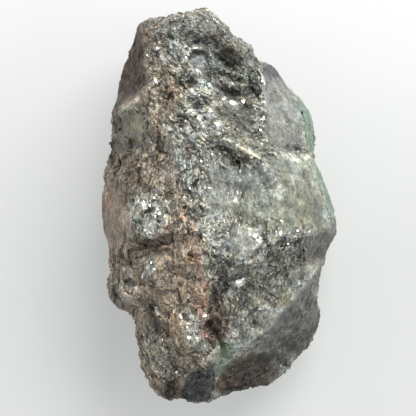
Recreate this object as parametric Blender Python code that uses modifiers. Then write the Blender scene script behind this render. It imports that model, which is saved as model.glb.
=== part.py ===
"""Raw emerald specimen: a hand-sized lump of dark mica schist with three emerald (green beryl) crystals grown into it.

The lump lies on its back on a small worn flat. +Z is up, +Y is its long axis, with the knobbly end at +Y, and the broad broken
face that shows the crystals looks up. The plan of that face is drawn on a grid of PLAN metres per unit, columns to the right and
rows downwards, and heights are millimetres above the surface it lies on.
"""

import math

import bmesh
import bpy
from mathutils import Matrix, Vector
from mathutils.geometry import delaunay_2d_cdt

# Driving dimensions
PLAN = 0.00021  # metres per plan unit: the lump is 391 units long
PLAN_CENTRE = (208.0, 208.0)  # plan column and row straight under the eye
EYE = 0.45  # the plan is drawn as seen from this far above PLAN_LEVEL: what stands higher is drawn larger
PLAN_LEVEL = 0.018
MM = 0.001
VOXEL = 0.0011  # mesh size at which the broken surface is worked
KEEP = 0.34  # share of that mesh kept
FLAT_CUT = 0.00035  # how much the worn resting flat takes off the back
ROUGHNESS = [  # name, kind of relief, its size, height from the lowest to the highest
    ("lumps", "CLOUDS", 0.0085, 0.0010),
    ("chips", "VORONOI", 0.0045, 0.0016),
    ("grain", "CLOUDS", 0.0024, 0.0007),
]
GAP = 0.0003  # film of clearance between a crystal and its socket

# The silhouette of the broad face: column, row, height of the widest line there
OUTLINE = [
    (140, 23, 23), (151, 20.5, 23), (161, 20, 23), (170, 19, 23), (178, 15.5, 23), (187, 16, 23), (194, 13.5, 23), (199.5, 9.5, 23),
    (206, 10, 22), (211, 15, 21), (216, 20.5, 21), (221, 26, 21), (228, 33.5, 21), (236.5, 38.5, 20), (244, 44, 20), (249.5, 51, 19),
    (253.5, 58, 18), (261, 62, 16), (270, 65, 14), (277.5, 70, 14), (282.5, 76.5, 13), (287, 84.5, 13), (293, 92, 13.5), (299, 98, 14),
    (304, 105, 14), (309, 114, 15), (311.5, 124, 15), (311.5, 132, 15), (314, 139, 15), (315.5, 146, 16), (313.5, 154, 16),
    (315, 161, 16), (320, 172, 16), (325, 184, 16), (329, 198, 17), (333.5, 211, 17), (335.5, 225, 18), (333, 235, 17), (329, 246, 16),
    (324, 257, 15), (320.5, 267, 14), (320, 278, 13), (316.5, 292, 12), (316, 304, 11), (319.5, 318, 11), (318, 329, 11), (312, 340, 11),
    (305.5, 348.5, 12), (297, 357, 12), (287.5, 368, 12), (278, 379, 13), (268, 386, 13), (250, 389, 14), (232, 392.5, 15),
    (217, 396, 15), (206, 400, 16), (192, 401.5, 16), (176, 401, 16), (163, 399, 16), (154.5, 394, 16), (149.5, 386, 16), (148, 375, 15),
    (146, 364, 15), (141.5, 350, 15), (137, 336, 16), (134.5, 322, 18), (130, 312.5, 19), (119, 305.5, 19), (111, 297, 19),
    (108.5, 288, 19), (108.5, 279, 18), (110, 268, 17), (110.5, 256, 16), (109.5, 242, 16), (105.5, 230, 16), (103, 214, 16),
    (102.5, 200, 16), (105, 186, 16), (107.5, 170, 16), (109, 158, 15), (113, 143, 14), (115.5, 128, 14), (114.5, 109, 15),
    (117.5, 95, 16), (119, 78, 17), (123, 66, 18), (128.5, 54, 19), (132.5, 45, 20), (136, 33, 22),
]

# Ridges, ledges, hollows and facet corners of the broad face: column, row, height
FACE = {
    "knob": [
        (147, 27, 28), (160, 23, 30.5), (176, 18, 32), (190, 15, 32.5), (203, 15, 31.5), (211, 21, 30), (152, 38, 32.5), (166, 34, 34),
        (180, 25, 34.5), (198, 21, 34.5), (224, 34, 31.5), (236, 43, 30.5), (247, 52, 29.5),
    ],
    "knob edge": [(176, 31, 34.8), (190, 27, 35.6), (206, 30, 35.8), (220, 39, 34.8), (234, 49, 33.8), (246, 59, 32.4), (254, 68, 31)],
    "dark face under the knob": [
        (188, 36, 35), (204, 42, 34), (218, 54, 32.6), (232, 66, 31.2), (244, 78, 30), (228, 80, 30.4), (213, 64, 32.2), (252, 88, 29.3),
    ],
    "groove under the knob": [(184, 43, 34.3), (196, 53, 33.4), (207, 68, 32.2), (217, 83, 31), (229, 96, 29.8), (243, 101, 29.2), (257, 98, 29)],
    "edge of the step": [(255, 62, 30), (261, 74, 31), (262.5, 86, 31.2), (262, 97, 31.4), (263, 108, 32), (264, 120, 32.5)],
    "foot of the step": [(266, 66, 18.5), (269, 76, 19), (269, 88, 20.5), (268, 98, 22.5), (268, 108, 26)],
    "left ridge": [(143, 42, 29.5), (145.5, 60, 31), (148, 76, 31.5), (147, 90, 31.5)],
    "shaded side of the left ridge": [(138, 44, 25), (138, 60, 25.4), (137, 76, 24.8), (129, 88, 21), (128, 70, 20.6)],
    "pale slant": [(147, 90, 31.5), (136, 100, 28.5), (126, 108, 24.5), (118, 116, 19.5)],
    "upper middle": [
        (158, 52, 34), (165, 72, 35), (157, 88, 33.5), (152, 104, 33.5), (165, 115, 35.5), (178, 54, 34.6), (186, 66, 35.6), (197, 75, 35.6),
        (186, 86, 34.3), (176, 92, 36.2), (164, 98, 33.2), (203, 92, 36.6), (206, 82, 35), (195, 103, 35.8), (214, 98, 34.6),
        (180, 104, 37), (210, 106, 37.2), (181, 118, 37.2), (199, 118, 38.8),
        (228, 110, 34.6), (244, 113, 33.2), (255, 110, 32), (220, 122, 37.4), (240, 126, 36.4), (254, 124, 34),
    ],
    "ledge": [(220, 137, 38.3), (232, 143, 38.2), (250, 152, 37.8), (265, 162, 37), (271, 168, 36.8)],
    "under the ledge": [(218, 145, 37), (228, 150, 35.6), (240, 158, 35), (254, 166, 35.6)],
    "hollow under the ledge": [(226, 162, 35.8), (240, 170, 35.9), (222, 174, 37.3), (243, 180, 37), (230, 186, 38)],
    "receding slab": [
        (273, 74, 16.5), (277, 88, 19.5), (285, 100, 21.5), (291, 114, 23), (296, 130, 23.5), (275, 108, 24.5), (280, 122, 26.5), (272, 134, 31),
        (297, 144, 22.8), (284, 142, 28.5), (268, 150, 34), (284, 151, 29.5), (298, 150, 25.5), (308, 153, 21),
    ],
    "glassy bulge": [
        (286, 158, 33), (301, 161, 30.5), (311, 168, 26), (262, 178, 37.4), (280, 176, 37), (298, 177, 34), (313, 186, 28.5), (322, 198, 25),
        (255, 196, 38.6), (275, 196, 38.9), (293, 200, 36.8), (308, 204, 33), (321, 212, 28), (262, 214, 39.2), (280, 216, 39),
        (298, 218, 36.6), (312, 218, 33.2), (326, 220, 25.5),
    ],
    "bright facet": [(228, 230, 37.8), (244, 226, 38.8), (258, 230, 39), (240, 246, 38.4), (254, 244, 39.1)],
    "crest": [(222, 254, 37), (232, 261, 38), (246, 264, 38.8), (258, 259, 39.3), (264, 247, 39.1), (276, 240, 38.7), (293, 236, 37), (311, 232, 34.2), (326, 228, 28)],
    "under the crest": [(222, 266, 34.5), (234, 270, 34.6), (248, 273, 35), (262, 268, 35.2), (272, 256, 35.4), (286, 251, 34.6), (301, 248, 32.2), (317, 244, 27)],
    "dark slope": [
        (216, 274, 33), (226, 284, 32.2), (238, 283, 33.2), (252, 284, 33), (268, 283, 32.6), (284, 272, 32), (284, 288, 31.2), (298, 262, 29.8),
        (308, 258, 26.5), (274, 268, 33.4),
    ],
    "lower ridge": [
        (320, 263, 20.5), (311, 274, 28), (302, 287, 30), (291, 300, 30.6), (281, 310, 30.6), (270, 323, 30.2), (260, 332, 29.8), (247, 341, 29.2),
        (237, 349, 28.6),
    ],
    "underside facet": [
        (310, 296, 19), (304, 315, 18.5), (295, 332, 17.5), (283, 346, 18), (270, 357, 18.5), (255, 366, 19.5), (242, 373, 20), (230, 380, 19.5),
        (264, 346, 24), (287, 324, 24.5), (247, 359, 23.5),
    ],
    "lower middle": [
        (263, 300, 31.4), (277, 298, 30.9), (250, 315, 30.6), (239, 328, 30.2), (261, 315, 30.8), (234, 302, 32), (231, 338, 29.4), (231, 318, 31),
    ],
    "crevice": [(214, 284, 31.8), (213, 300, 30.6), (208, 317, 29.2), (213, 330, 27), (220, 342, 26.6)],
    "banks of the crevice": [(201, 262, 36), (203, 281, 34.2), (202, 300, 33.2), (199, 316, 32.6), (224, 300, 31.8), (226, 328, 30.4)],
    "mica lump": [(180, 311, 31), (191, 312, 31.4), (181, 325, 32.2), (194, 328, 33), (190, 342, 33.6), (202, 345, 32.4), (179, 343, 32.2), (210, 354, 30.4), (198, 357, 30.6), (186, 360, 30)],
    "foot edge": [(182, 381, 26), (190, 374, 28), (200, 367, 28.9), (211, 361, 28.8)],
    "foot": [(190, 386, 21.5), (203, 379, 23.8), (213, 371, 25.4), (200, 391, 19), (186, 392, 18.6), (216, 385, 20.5)],
    "seat of the lower crystal": [(223, 353, 26.6), (229, 360, 25.4), (221, 371, 23.6)],
    "middle": [
        (180, 134, 37), (200, 135, 39.2), (212, 134, 38.8), (165, 138, 35), (166, 158, 35.6), (184, 160, 38), (203, 160, 39.8), (212, 176, 39.6),
        (205, 195, 40), (222, 204, 39.2), (240, 204, 38.4), (186, 186, 37.8), (168, 178, 36.2), (203, 214, 39), (216, 222, 38.4), (186, 210, 37.6),
        (203, 232, 38.2), (212, 246, 37),
    ],
    "scooped hollow": [
        (126, 117, 22.5), (137, 116, 25), (124, 132, 19.5), (136, 133, 24), (143, 128, 27.5), (128, 146, 19.5), (139, 147, 26), (150, 118, 32.5),
        (150, 135, 32), (121, 158, 18.5), (134, 158, 25.5), (147, 155, 31.5),
    ],
    "left flank": [
        (117, 173, 20.5), (130, 172, 26), (142, 170, 31.5), (111, 186, 19.5), (123, 186, 25.5), (136, 184, 30.5), (151, 178, 34.4), (153, 190, 35),
        (112, 205, 21.5), (121, 212, 26), (120, 228, 25), (110, 222, 19.5), (116, 240, 21.5), (128, 240, 26.5), (115, 255, 20.5), (127, 258, 26),
    ],
    "left lumps": [
        (130, 196, 29), (134, 208, 32.6), (136, 221, 33.8), (148, 204, 35.6), (147, 222, 36.6), (160, 205, 36.8), (171, 205, 36.6),
        (159, 225, 37.5), (149, 235, 36), (165, 231, 36.8), (150, 246, 30.4), (161, 243, 31.4), (139, 247, 28.4), (140, 236, 31), (176, 225, 37.6),
        (171, 243, 34.4),
    ],
    "lower left": [
        (176, 254, 35.8), (190, 246, 37), (141, 262, 31), (155, 264, 34), (166, 262, 35), (179, 272, 34.4), (151, 277, 33.4), (162, 290, 32.4),
        (182, 292, 32.4), (147, 288, 30.6), (138, 277, 29.6), (122, 274, 25.6), (130, 281, 24.4), (136, 292, 29), (122, 289, 25.6), (127, 300, 24.4),
        (141, 303, 27), (150, 311, 26.4), (141, 320, 24), (155, 325, 27), (150, 340, 24.6), (159, 340, 27.4), (164, 316, 31), (170, 330, 31.4),
        (165, 345, 30.2), (175, 357, 29.6), (176, 370, 27.6), (168, 370, 24.8), (154, 362, 21.5), (160, 378, 20.5), (172, 386, 19.5), (147, 352, 20.5),
    ],
}

# Groups of FACE whose points follow one another along a ridge, a step or a groove
RIDGES = {
    "knob edge", "groove under the knob", "edge of the step", "foot of the step", "left ridge", "pale slant", "ledge", "under the ledge",
    "crest", "under the crest", "lower ridge", "crevice", "foot edge",
}

# The back is broken along planes round the worn flat: direction in degrees from the columns' axis, distance in mm from the
# flat's middle at which the plane leaves the level of the flat, and its slope in degrees
FLAT_MIDDLE = (1.2, 0.5)
BREAKS = [
    (10, 8, 9), (80, 12, 12), (150, 7, 10), (200, 8, 14), (265, 12, 10), (320, 9, 12),
    (0, 13, 30), (48, 19, 33), (92, 22, 30), (135, 19, 36), (183, 13, 33), (228, 20, 30), (272, 24, 33), (318, 19.5, 33),
    (20, 19.5, 62), (335, 27, 60), (60, 30, 60), (110, 34, 58), (160, 20, 65), (200, 19.5, 60), (245, 33, 62), (290, 34, 60),
]

# Crystals: plan and height of the middles of the two ends, radius in mm over the prism's corners, turn about the axis
CRYSTALS = {
    "emerald_upper_right": ((320.0, 91.0, 15.5), (321.0, 153.0, 17.0), 4.8, 4.0),
    "emerald_right_rim": ((317.5, 155.0, 20.0), (334.5, 208.0, 17.5), 2.8, 8.0),
    "emerald_lower": ((226.0, 339.0, 28.0), (216.0, 373.0, 23.4), 2.0, 20.0),
    "beryl_left": ((138.0, 122.0, 15.0), (127.0, 127.0, 30.0), 3.6, 14.0),
}

COLOURS = {  # colour, roughness
    "schist_matrix": ((0.115, 0.105, 0.098, 1), 0.55),
    "emerald": ((0.16, 0.30, 0.22, 1), 0.25),
    "beryl": ((0.15, 0.16, 0.11, 1), 0.3),
}


def place(column, row, height):
    """Plan column and row, and a height in millimetres, as a point in metres."""
    z = height * MM
    spread = PLAN * (EYE + PLAN_LEVEL - z) / EYE
    return Vector(((column - PLAN_CENTRE[0]) * spread, (PLAN_CENTRE[1] - row) * spread, z))


def material(name, colour, roughness):
    made = bpy.data.materials.new(name)
    made.use_nodes = True
    shader = made.node_tree.nodes["Principled BSDF"]
    shader.inputs["Base Color"].default_value = colour
    shader.inputs["Roughness"].default_value = roughness
    shader.inputs["Metallic"].default_value = 0.0
    return made


def link_object(name, shape, collection):
    mesh = bpy.data.meshes.new(name)
    shape.to_mesh(mesh)
    shape.free()
    made = bpy.data.objects.new(name, mesh)
    collection.objects.link(made)
    return made


def as_cutter(obj):
    obj.hide_render = True
    obj.display_type = "WIRE"
    return obj


def broad_face(form):
    """The broad face: triangles through its points, held to the silhouette and to the ridges. Gives the silhouette's vertices."""
    points = [place(*p) for p in OUTLINE]
    count = len(points)
    edges = [(i, (i + 1) % count) for i in range(count)]
    for name, group in FACE.items():
        if name in RIDGES:
            edges += [(len(points) + i, len(points) + i + 1) for i in range(len(group) - 1)]
        points += [place(*p) for p in group]
    flat, _, faces, source, _, _ = delaunay_2d_cdt([Vector((p.x / MM, p.y / MM)) for p in points], edges, [], 1, 1e-4)
    verts = []
    for corner, origin in zip(flat, source):
        verts.append(form.verts.new((corner.x * MM, corner.y * MM, points[origin[0]].z)))
    for face in faces:
        form.faces.new([verts[i] for i in face])
    where = {origin: vert for vert, origins in zip(verts, source) for origin in origins}
    return [where[i] for i in range(count)]


def break_off(form, point, normal):
    """Takes off everything on the normal's side of a plane and closes the break."""
    bmesh.ops.bisect_plane(form, geom=form.verts[:] + form.edges[:] + form.faces[:], plane_co=point, plane_no=normal, clear_outer=True)
    rim = [edge for edge in form.edges if edge.is_boundary]
    if rim:
        bmesh.ops.holes_fill(form, edges=rim, sides=0)


def broken_form(collection):
    """The lump's shape before its crystals are let in: face, wall round the silhouette, and the breaks of the back."""
    form = bmesh.new()
    rim = broad_face(form)
    low = [form.verts.new((v.co.x, v.co.y, -0.002)) for v in rim]
    for i in range(len(rim)):
        j = (i + 1) % len(rim)
        form.faces.new((rim[i], rim[j], low[j], low[i]))
    form.faces.new(low)
    bmesh.ops.recalc_face_normals(form, faces=form.faces[:])
    break_off(form, Vector((0, 0, 0)), Vector((0, 0, -1)))
    for direction, distance, slope in BREAKS:
        turn, lean = math.radians(direction), math.radians(slope)
        outward = Vector((math.cos(turn), math.sin(turn), 0))
        point = Vector((FLAT_MIDDLE[0] * MM, FLAT_MIDDLE[1] * MM, 0)) + outward * distance * MM
        break_off(form, point, outward * math.sin(lean) - Vector((0, 0, math.cos(lean))))
    bmesh.ops.triangulate(form, faces=form.faces[:])
    made = as_cutter(link_object("broken_form", form, collection))

    remesh = made.modifiers.new("broken surface", "REMESH")
    remesh.mode = "VOXEL"
    remesh.voxel_size = VOXEL
    soften = made.modifiers.new("worn edges", "SMOOTH")
    soften.factor = 0.5
    soften.iterations = 1
    for name, kind, size, strength in ROUGHNESS:
        texture = bpy.data.textures.new(name, kind)
        texture.noise_scale = size
        rough = made.modifiers.new(name, "DISPLACE")
        rough.texture = texture
        rough.texture_coords = "LOCAL"
        rough.strength = strength
        rough.mid_level = 0.5
    thin = made.modifiers.new("kept mesh", "DECIMATE")
    thin.ratio = KEEP
    return made


def prism(name, collection, ends, radius, turn, grow=0.0):
    """A hexagonal beryl prism between two points of the plan. Grown, it is the cutter of its socket."""
    start, end = place(*ends[0]), place(*ends[1])
    axis = end - start
    shape = bmesh.new()
    size = radius * MM + grow
    bmesh.ops.create_cone(shape, cap_ends=True, segments=6, radius1=size, radius2=size, depth=axis.length + 2 * grow)
    made = link_object(name, shape, collection)
    made.matrix_world = (
        Matrix.Translation((start + end) / 2)
        @ axis.to_track_quat("Z", "X").to_matrix().to_4x4()
        @ Matrix.Rotation(math.radians(turn), 4, "Z")
    )
    return made


def combine(obj, cutter, operation, name):
    cut = obj.modifiers.new(name, "BOOLEAN")
    cut.operation = operation
    cut.solver = "EXACT"
    cut.object = cutter


def main():
    for old in list(bpy.data.objects):
        bpy.data.objects.remove(old)
    parts = bpy.data.collections.new("raw_emerald_specimen")
    cutters = bpy.data.collections.new("cutters")
    bpy.context.scene.collection.children.link(parts)
    bpy.context.scene.collection.children.link(cutters)
    specimen = bpy.data.objects.new("specimen", None)
    specimen.location = (0, 0, -FLAT_CUT)
    parts.objects.link(specimen)

    form = broken_form(cutters)
    bpy.context.view_layer.update()
    worked = bpy.data.meshes.new_from_object(form.evaluated_get(bpy.context.evaluated_depsgraph_get()))
    form.modifiers.clear()
    form.data = worked

    matrix = bpy.data.objects.new("schist_matrix", worked.copy())
    matrix.data.materials.append(material("schist_matrix", *COLOURS["schist_matrix"]))
    parts.objects.link(matrix)
    pieces = [form, matrix]
    stones = {name: material(name, *COLOURS[name]) for name in ("emerald", "beryl")}
    for name, (start, end, radius, turn) in CRYSTALS.items():
        crystal = prism(name, parts, (start, end), radius, turn)
        crystal.data.materials.append(stones[name.split("_")[0]])
        combine(crystal, form, "INTERSECT", "broken flush with the lump")
        socket = as_cutter(prism(name + "_socket", cutters, (start, end), radius, turn, GAP))
        combine(matrix, socket, "DIFFERENCE", "socket of " + name)
        pieces += [crystal, socket]

    # The worn flat: everything under the level it lies on is taken off
    block = bmesh.new()
    bmesh.ops.create_cube(block, size=1.0, matrix=Matrix.Translation((0, 0, FLAT_CUT - 0.01)) @ Matrix.Diagonal((0.12, 0.12, 0.02, 1)))
    under = as_cutter(link_object("under_the_flat", block, cutters))
    combine(matrix, under, "DIFFERENCE", "worn flat")
    pieces.append(under)

    for piece in pieces:
        piece.parent = specimen


main()
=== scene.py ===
"""Looks of the raw emerald specimen: a craggy lump of dark mica schist with green beryl crystals let into it.

The lump's broad face looks up and is drawn on the same plan as its solids: columns to the right and rows downwards, PLAN metres each,
as seen from EYE above PLAN_LEVEL, with heights in millimetres over the surface it lies on.
"""

import math

import bmesh
import bpy
import numpy as np
from mathutils import Matrix, Vector
from mathutils.geometry import delaunay_2d_cdt


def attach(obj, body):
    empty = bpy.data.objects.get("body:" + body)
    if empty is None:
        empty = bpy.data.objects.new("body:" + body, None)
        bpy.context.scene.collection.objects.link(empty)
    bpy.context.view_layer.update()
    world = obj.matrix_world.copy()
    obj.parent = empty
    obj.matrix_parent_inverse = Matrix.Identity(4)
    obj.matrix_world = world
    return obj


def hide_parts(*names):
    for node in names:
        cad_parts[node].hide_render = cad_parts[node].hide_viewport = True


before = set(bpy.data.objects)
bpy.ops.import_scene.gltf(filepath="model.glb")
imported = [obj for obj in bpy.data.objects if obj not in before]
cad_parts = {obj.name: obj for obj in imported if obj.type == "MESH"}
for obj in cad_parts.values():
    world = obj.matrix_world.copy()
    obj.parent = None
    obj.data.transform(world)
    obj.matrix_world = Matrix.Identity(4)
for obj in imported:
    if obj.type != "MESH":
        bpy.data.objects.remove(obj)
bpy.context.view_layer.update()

PLAN = 0.00021
PLAN_CENTRE = (208.0, 208.0)
EYE = 0.45
PLAN_LEVEL = 0.018
MM = 0.001
FLAT_CUT = 0.00035
FINE = 0.00028
ROUGHNESS = [
    ("lumps", "CLOUDS", 0.0085, 0.0010),
    ("chips", "VORONOI", 0.0045, 0.0016),
    ("grain", "CLOUDS", 0.0024, 0.0007),
]
# The silhouette of the broad face: column, row, height of the widest line there
OUTLINE = [
    (140, 23, 23), (151, 20.5, 23), (161, 20, 23), (170, 19, 23), (178, 15.5, 23), (187, 16, 23), (194, 13.5, 23), (199.5, 9.5, 23),
    (206, 10, 22), (211, 15, 21), (216, 20.5, 21), (221, 26, 21), (228, 33.5, 21), (236.5, 38.5, 20), (244, 44, 20), (249.5, 51, 19),
    (253.5, 58, 18), (261, 62, 16), (270, 65, 14), (277.5, 70, 14), (282.5, 76.5, 13), (287, 84.5, 13), (293, 92, 13.5), (299, 98, 14),
    (304, 105, 14), (309, 114, 15), (311.5, 124, 15), (311.5, 132, 15), (314, 139, 15), (315.5, 146, 16), (313.5, 154, 16),
    (315, 161, 16), (320, 172, 16), (325, 184, 16), (329, 198, 17), (333.5, 211, 17), (335.5, 225, 18), (333, 235, 17), (329, 246, 16),
    (324, 257, 15), (320.5, 267, 14), (320, 278, 13), (316.5, 292, 12), (316, 304, 11), (319.5, 318, 11), (318, 329, 11), (312, 340, 11),
    (305.5, 348.5, 12), (297, 357, 12), (287.5, 368, 12), (278, 379, 13), (268, 386, 13), (250, 389, 14), (232, 392.5, 15),
    (217, 396, 15), (206, 400, 16), (192, 401.5, 16), (176, 401, 16), (163, 399, 16), (154.5, 394, 16), (149.5, 386, 16), (148, 375, 15),
    (146, 364, 15), (141.5, 350, 15), (137, 336, 16), (134.5, 322, 18), (130, 312.5, 19), (119, 305.5, 19), (111, 297, 19),
    (108.5, 288, 19), (108.5, 279, 18), (110, 268, 17), (110.5, 256, 16), (109.5, 242, 16), (105.5, 230, 16), (103, 214, 16),
    (102.5, 200, 16), (105, 186, 16), (107.5, 170, 16), (109, 158, 15), (113, 143, 14), (115.5, 128, 14), (114.5, 109, 15),
    (117.5, 95, 16), (119, 78, 17), (123, 66, 18), (128.5, 54, 19), (132.5, 45, 20), (136, 33, 22),
]

# Ridges, ledges, hollows and facet corners of the broad face: column, row, height
FACE = {
    "knob": [
        (147, 27, 28), (160, 23, 30.5), (176, 18, 32), (190, 15, 32.5), (203, 15, 31.5), (211, 21, 30), (152, 38, 32.5), (166, 34, 34),
        (180, 25, 34.5), (198, 21, 34.5), (224, 34, 31.5), (236, 43, 30.5), (247, 52, 29.5),
    ],
    "knob edge": [(176, 31, 34.8), (190, 27, 35.6), (206, 30, 35.8), (220, 39, 34.8), (234, 49, 33.8), (246, 59, 32.4), (254, 68, 31)],
    "dark face under the knob": [
        (188, 36, 35), (204, 42, 34), (218, 54, 32.6), (232, 66, 31.2), (244, 78, 30), (228, 80, 30.4), (213, 64, 32.2), (252, 88, 29.3),
    ],
    "groove under the knob": [(184, 43, 34.3), (196, 53, 33.4), (207, 68, 32.2), (217, 83, 31), (229, 96, 29.8), (243, 101, 29.2), (257, 98, 29)],
    "edge of the step": [(255, 62, 30), (261, 74, 31), (262.5, 86, 31.2), (262, 97, 31.4), (263, 108, 32), (264, 120, 32.5)],
    "foot of the step": [(266, 66, 18.5), (269, 76, 19), (269, 88, 20.5), (268, 98, 22.5), (268, 108, 26)],
    "left ridge": [(143, 42, 29.5), (145.5, 60, 31), (148, 76, 31.5), (147, 90, 31.5)],
    "shaded side of the left ridge": [(138, 44, 25), (138, 60, 25.4), (137, 76, 24.8), (129, 88, 21), (128, 70, 20.6)],
    "pale slant": [(147, 90, 31.5), (136, 100, 28.5), (126, 108, 24.5), (118, 116, 19.5)],
    "upper middle": [
        (158, 52, 34), (165, 72, 35), (157, 88, 33.5), (152, 104, 33.5), (165, 115, 35.5), (178, 54, 34.6), (186, 66, 35.6), (197, 75, 35.6),
        (186, 86, 34.3), (176, 92, 36.2), (164, 98, 33.2), (203, 92, 36.6), (206, 82, 35), (195, 103, 35.8), (214, 98, 34.6),
        (180, 104, 37), (210, 106, 37.2), (181, 118, 37.2), (199, 118, 38.8),
        (228, 110, 34.6), (244, 113, 33.2), (255, 110, 32), (220, 122, 37.4), (240, 126, 36.4), (254, 124, 34),
    ],
    "ledge": [(220, 137, 38.3), (232, 143, 38.2), (250, 152, 37.8), (265, 162, 37), (271, 168, 36.8)],
    "under the ledge": [(218, 145, 37), (228, 150, 35.6), (240, 158, 35), (254, 166, 35.6)],
    "hollow under the ledge": [(226, 162, 35.8), (240, 170, 35.9), (222, 174, 37.3), (243, 180, 37), (230, 186, 38)],
    "receding slab": [
        (273, 74, 16.5), (277, 88, 19.5), (285, 100, 21.5), (291, 114, 23), (296, 130, 23.5), (275, 108, 24.5), (280, 122, 26.5), (272, 134, 31),
        (297, 144, 22.8), (284, 142, 28.5), (268, 150, 34), (284, 151, 29.5), (298, 150, 25.5), (308, 153, 21),
    ],
    "glassy bulge": [
        (286, 158, 33), (301, 161, 30.5), (311, 168, 26), (262, 178, 37.4), (280, 176, 37), (298, 177, 34), (313, 186, 28.5), (322, 198, 25),
        (255, 196, 38.6), (275, 196, 38.9), (293, 200, 36.8), (308, 204, 33), (321, 212, 28), (262, 214, 39.2), (280, 216, 39),
        (298, 218, 36.6), (312, 218, 33.2), (326, 220, 25.5),
    ],
    "bright facet": [(228, 230, 37.8), (244, 226, 38.8), (258, 230, 39), (240, 246, 38.4), (254, 244, 39.1)],
    "crest": [(222, 254, 37), (232, 261, 38), (246, 264, 38.8), (258, 259, 39.3), (264, 247, 39.1), (276, 240, 38.7), (293, 236, 37), (311, 232, 34.2), (326, 228, 28)],
    "under the crest": [(222, 266, 34.5), (234, 270, 34.6), (248, 273, 35), (262, 268, 35.2), (272, 256, 35.4), (286, 251, 34.6), (301, 248, 32.2), (317, 244, 27)],
    "dark slope": [
        (216, 274, 33), (226, 284, 32.2), (238, 283, 33.2), (252, 284, 33), (268, 283, 32.6), (284, 272, 32), (284, 288, 31.2), (298, 262, 29.8),
        (308, 258, 26.5), (274, 268, 33.4),
    ],
    "lower ridge": [
        (320, 263, 20.5), (311, 274, 28), (302, 287, 30), (291, 300, 30.6), (281, 310, 30.6), (270, 323, 30.2), (260, 332, 29.8), (247, 341, 29.2),
        (237, 349, 28.6),
    ],
    "underside facet": [
        (310, 296, 19), (304, 315, 18.5), (295, 332, 17.5), (283, 346, 18), (270, 357, 18.5), (255, 366, 19.5), (242, 373, 20), (230, 380, 19.5),
        (264, 346, 24), (287, 324, 24.5), (247, 359, 23.5),
    ],
    "lower middle": [
        (263, 300, 31.4), (277, 298, 30.9), (250, 315, 30.6), (239, 328, 30.2), (261, 315, 30.8), (234, 302, 32), (231, 338, 29.4), (231, 318, 31),
    ],
    "crevice": [(214, 284, 31.8), (213, 300, 30.6), (208, 317, 29.2), (213, 330, 27), (220, 342, 26.6)],
    "banks of the crevice": [(201, 262, 36), (203, 281, 34.2), (202, 300, 33.2), (199, 316, 32.6), (224, 300, 31.8), (226, 328, 30.4)],
    "mica lump": [(180, 311, 31), (191, 312, 31.4), (181, 325, 32.2), (194, 328, 33), (190, 342, 33.6), (202, 345, 32.4), (179, 343, 32.2), (210, 354, 30.4), (198, 357, 30.6), (186, 360, 30)],
    "foot edge": [(182, 381, 26), (190, 374, 28), (200, 367, 28.9), (211, 361, 28.8)],
    "foot": [(190, 386, 21.5), (203, 379, 23.8), (213, 371, 25.4), (200, 391, 19), (186, 392, 18.6), (216, 385, 20.5)],
    "seat of the lower crystal": [(223, 353, 26.6), (229, 360, 25.4), (221, 371, 23.6)],
    "middle": [
        (180, 134, 37), (200, 135, 39.2), (212, 134, 38.8), (165, 138, 35), (166, 158, 35.6), (184, 160, 38), (203, 160, 39.8), (212, 176, 39.6),
        (205, 195, 40), (222, 204, 39.2), (240, 204, 38.4), (186, 186, 37.8), (168, 178, 36.2), (203, 214, 39), (216, 222, 38.4), (186, 210, 37.6),
        (203, 232, 38.2), (212, 246, 37),
    ],
    "scooped hollow": [
        (126, 117, 22.5), (137, 116, 25), (124, 132, 19.5), (136, 133, 24), (143, 128, 27.5), (128, 146, 19.5), (139, 147, 26), (150, 118, 32.5),
        (150, 135, 32), (121, 158, 18.5), (134, 158, 25.5), (147, 155, 31.5),
    ],
    "left flank": [
        (117, 173, 20.5), (130, 172, 26), (142, 170, 31.5), (111, 186, 19.5), (123, 186, 25.5), (136, 184, 30.5), (151, 178, 34.4), (153, 190, 35),
        (112, 205, 21.5), (121, 212, 26), (120, 228, 25), (110, 222, 19.5), (116, 240, 21.5), (128, 240, 26.5), (115, 255, 20.5), (127, 258, 26),
    ],
    "left lumps": [
        (130, 196, 29), (134, 208, 32.6), (136, 221, 33.8), (148, 204, 35.6), (147, 222, 36.6), (160, 205, 36.8), (171, 205, 36.6),
        (159, 225, 37.5), (149, 235, 36), (165, 231, 36.8), (150, 246, 30.4), (161, 243, 31.4), (139, 247, 28.4), (140, 236, 31), (176, 225, 37.6),
        (171, 243, 34.4),
    ],
    "lower left": [
        (176, 254, 35.8), (190, 246, 37), (141, 262, 31), (155, 264, 34), (166, 262, 35), (179, 272, 34.4), (151, 277, 33.4), (162, 290, 32.4),
        (182, 292, 32.4), (147, 288, 30.6), (138, 277, 29.6), (122, 274, 25.6), (130, 281, 24.4), (136, 292, 29), (122, 289, 25.6), (127, 300, 24.4),
        (141, 303, 27), (150, 311, 26.4), (141, 320, 24), (155, 325, 27), (150, 340, 24.6), (159, 340, 27.4), (164, 316, 31), (170, 330, 31.4),
        (165, 345, 30.2), (175, 357, 29.6), (176, 370, 27.6), (168, 370, 24.8), (154, 362, 21.5), (160, 378, 20.5), (172, 386, 19.5), (147, 352, 20.5),
    ],
}

# Groups of FACE whose points follow one another along a ridge, a step or a groove
RIDGES = {
    "knob edge", "groove under the knob", "edge of the step", "foot of the step", "left ridge", "pale slant", "ledge", "under the ledge",
    "crest", "under the crest", "lower ridge", "crevice", "foot edge",
}

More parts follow.
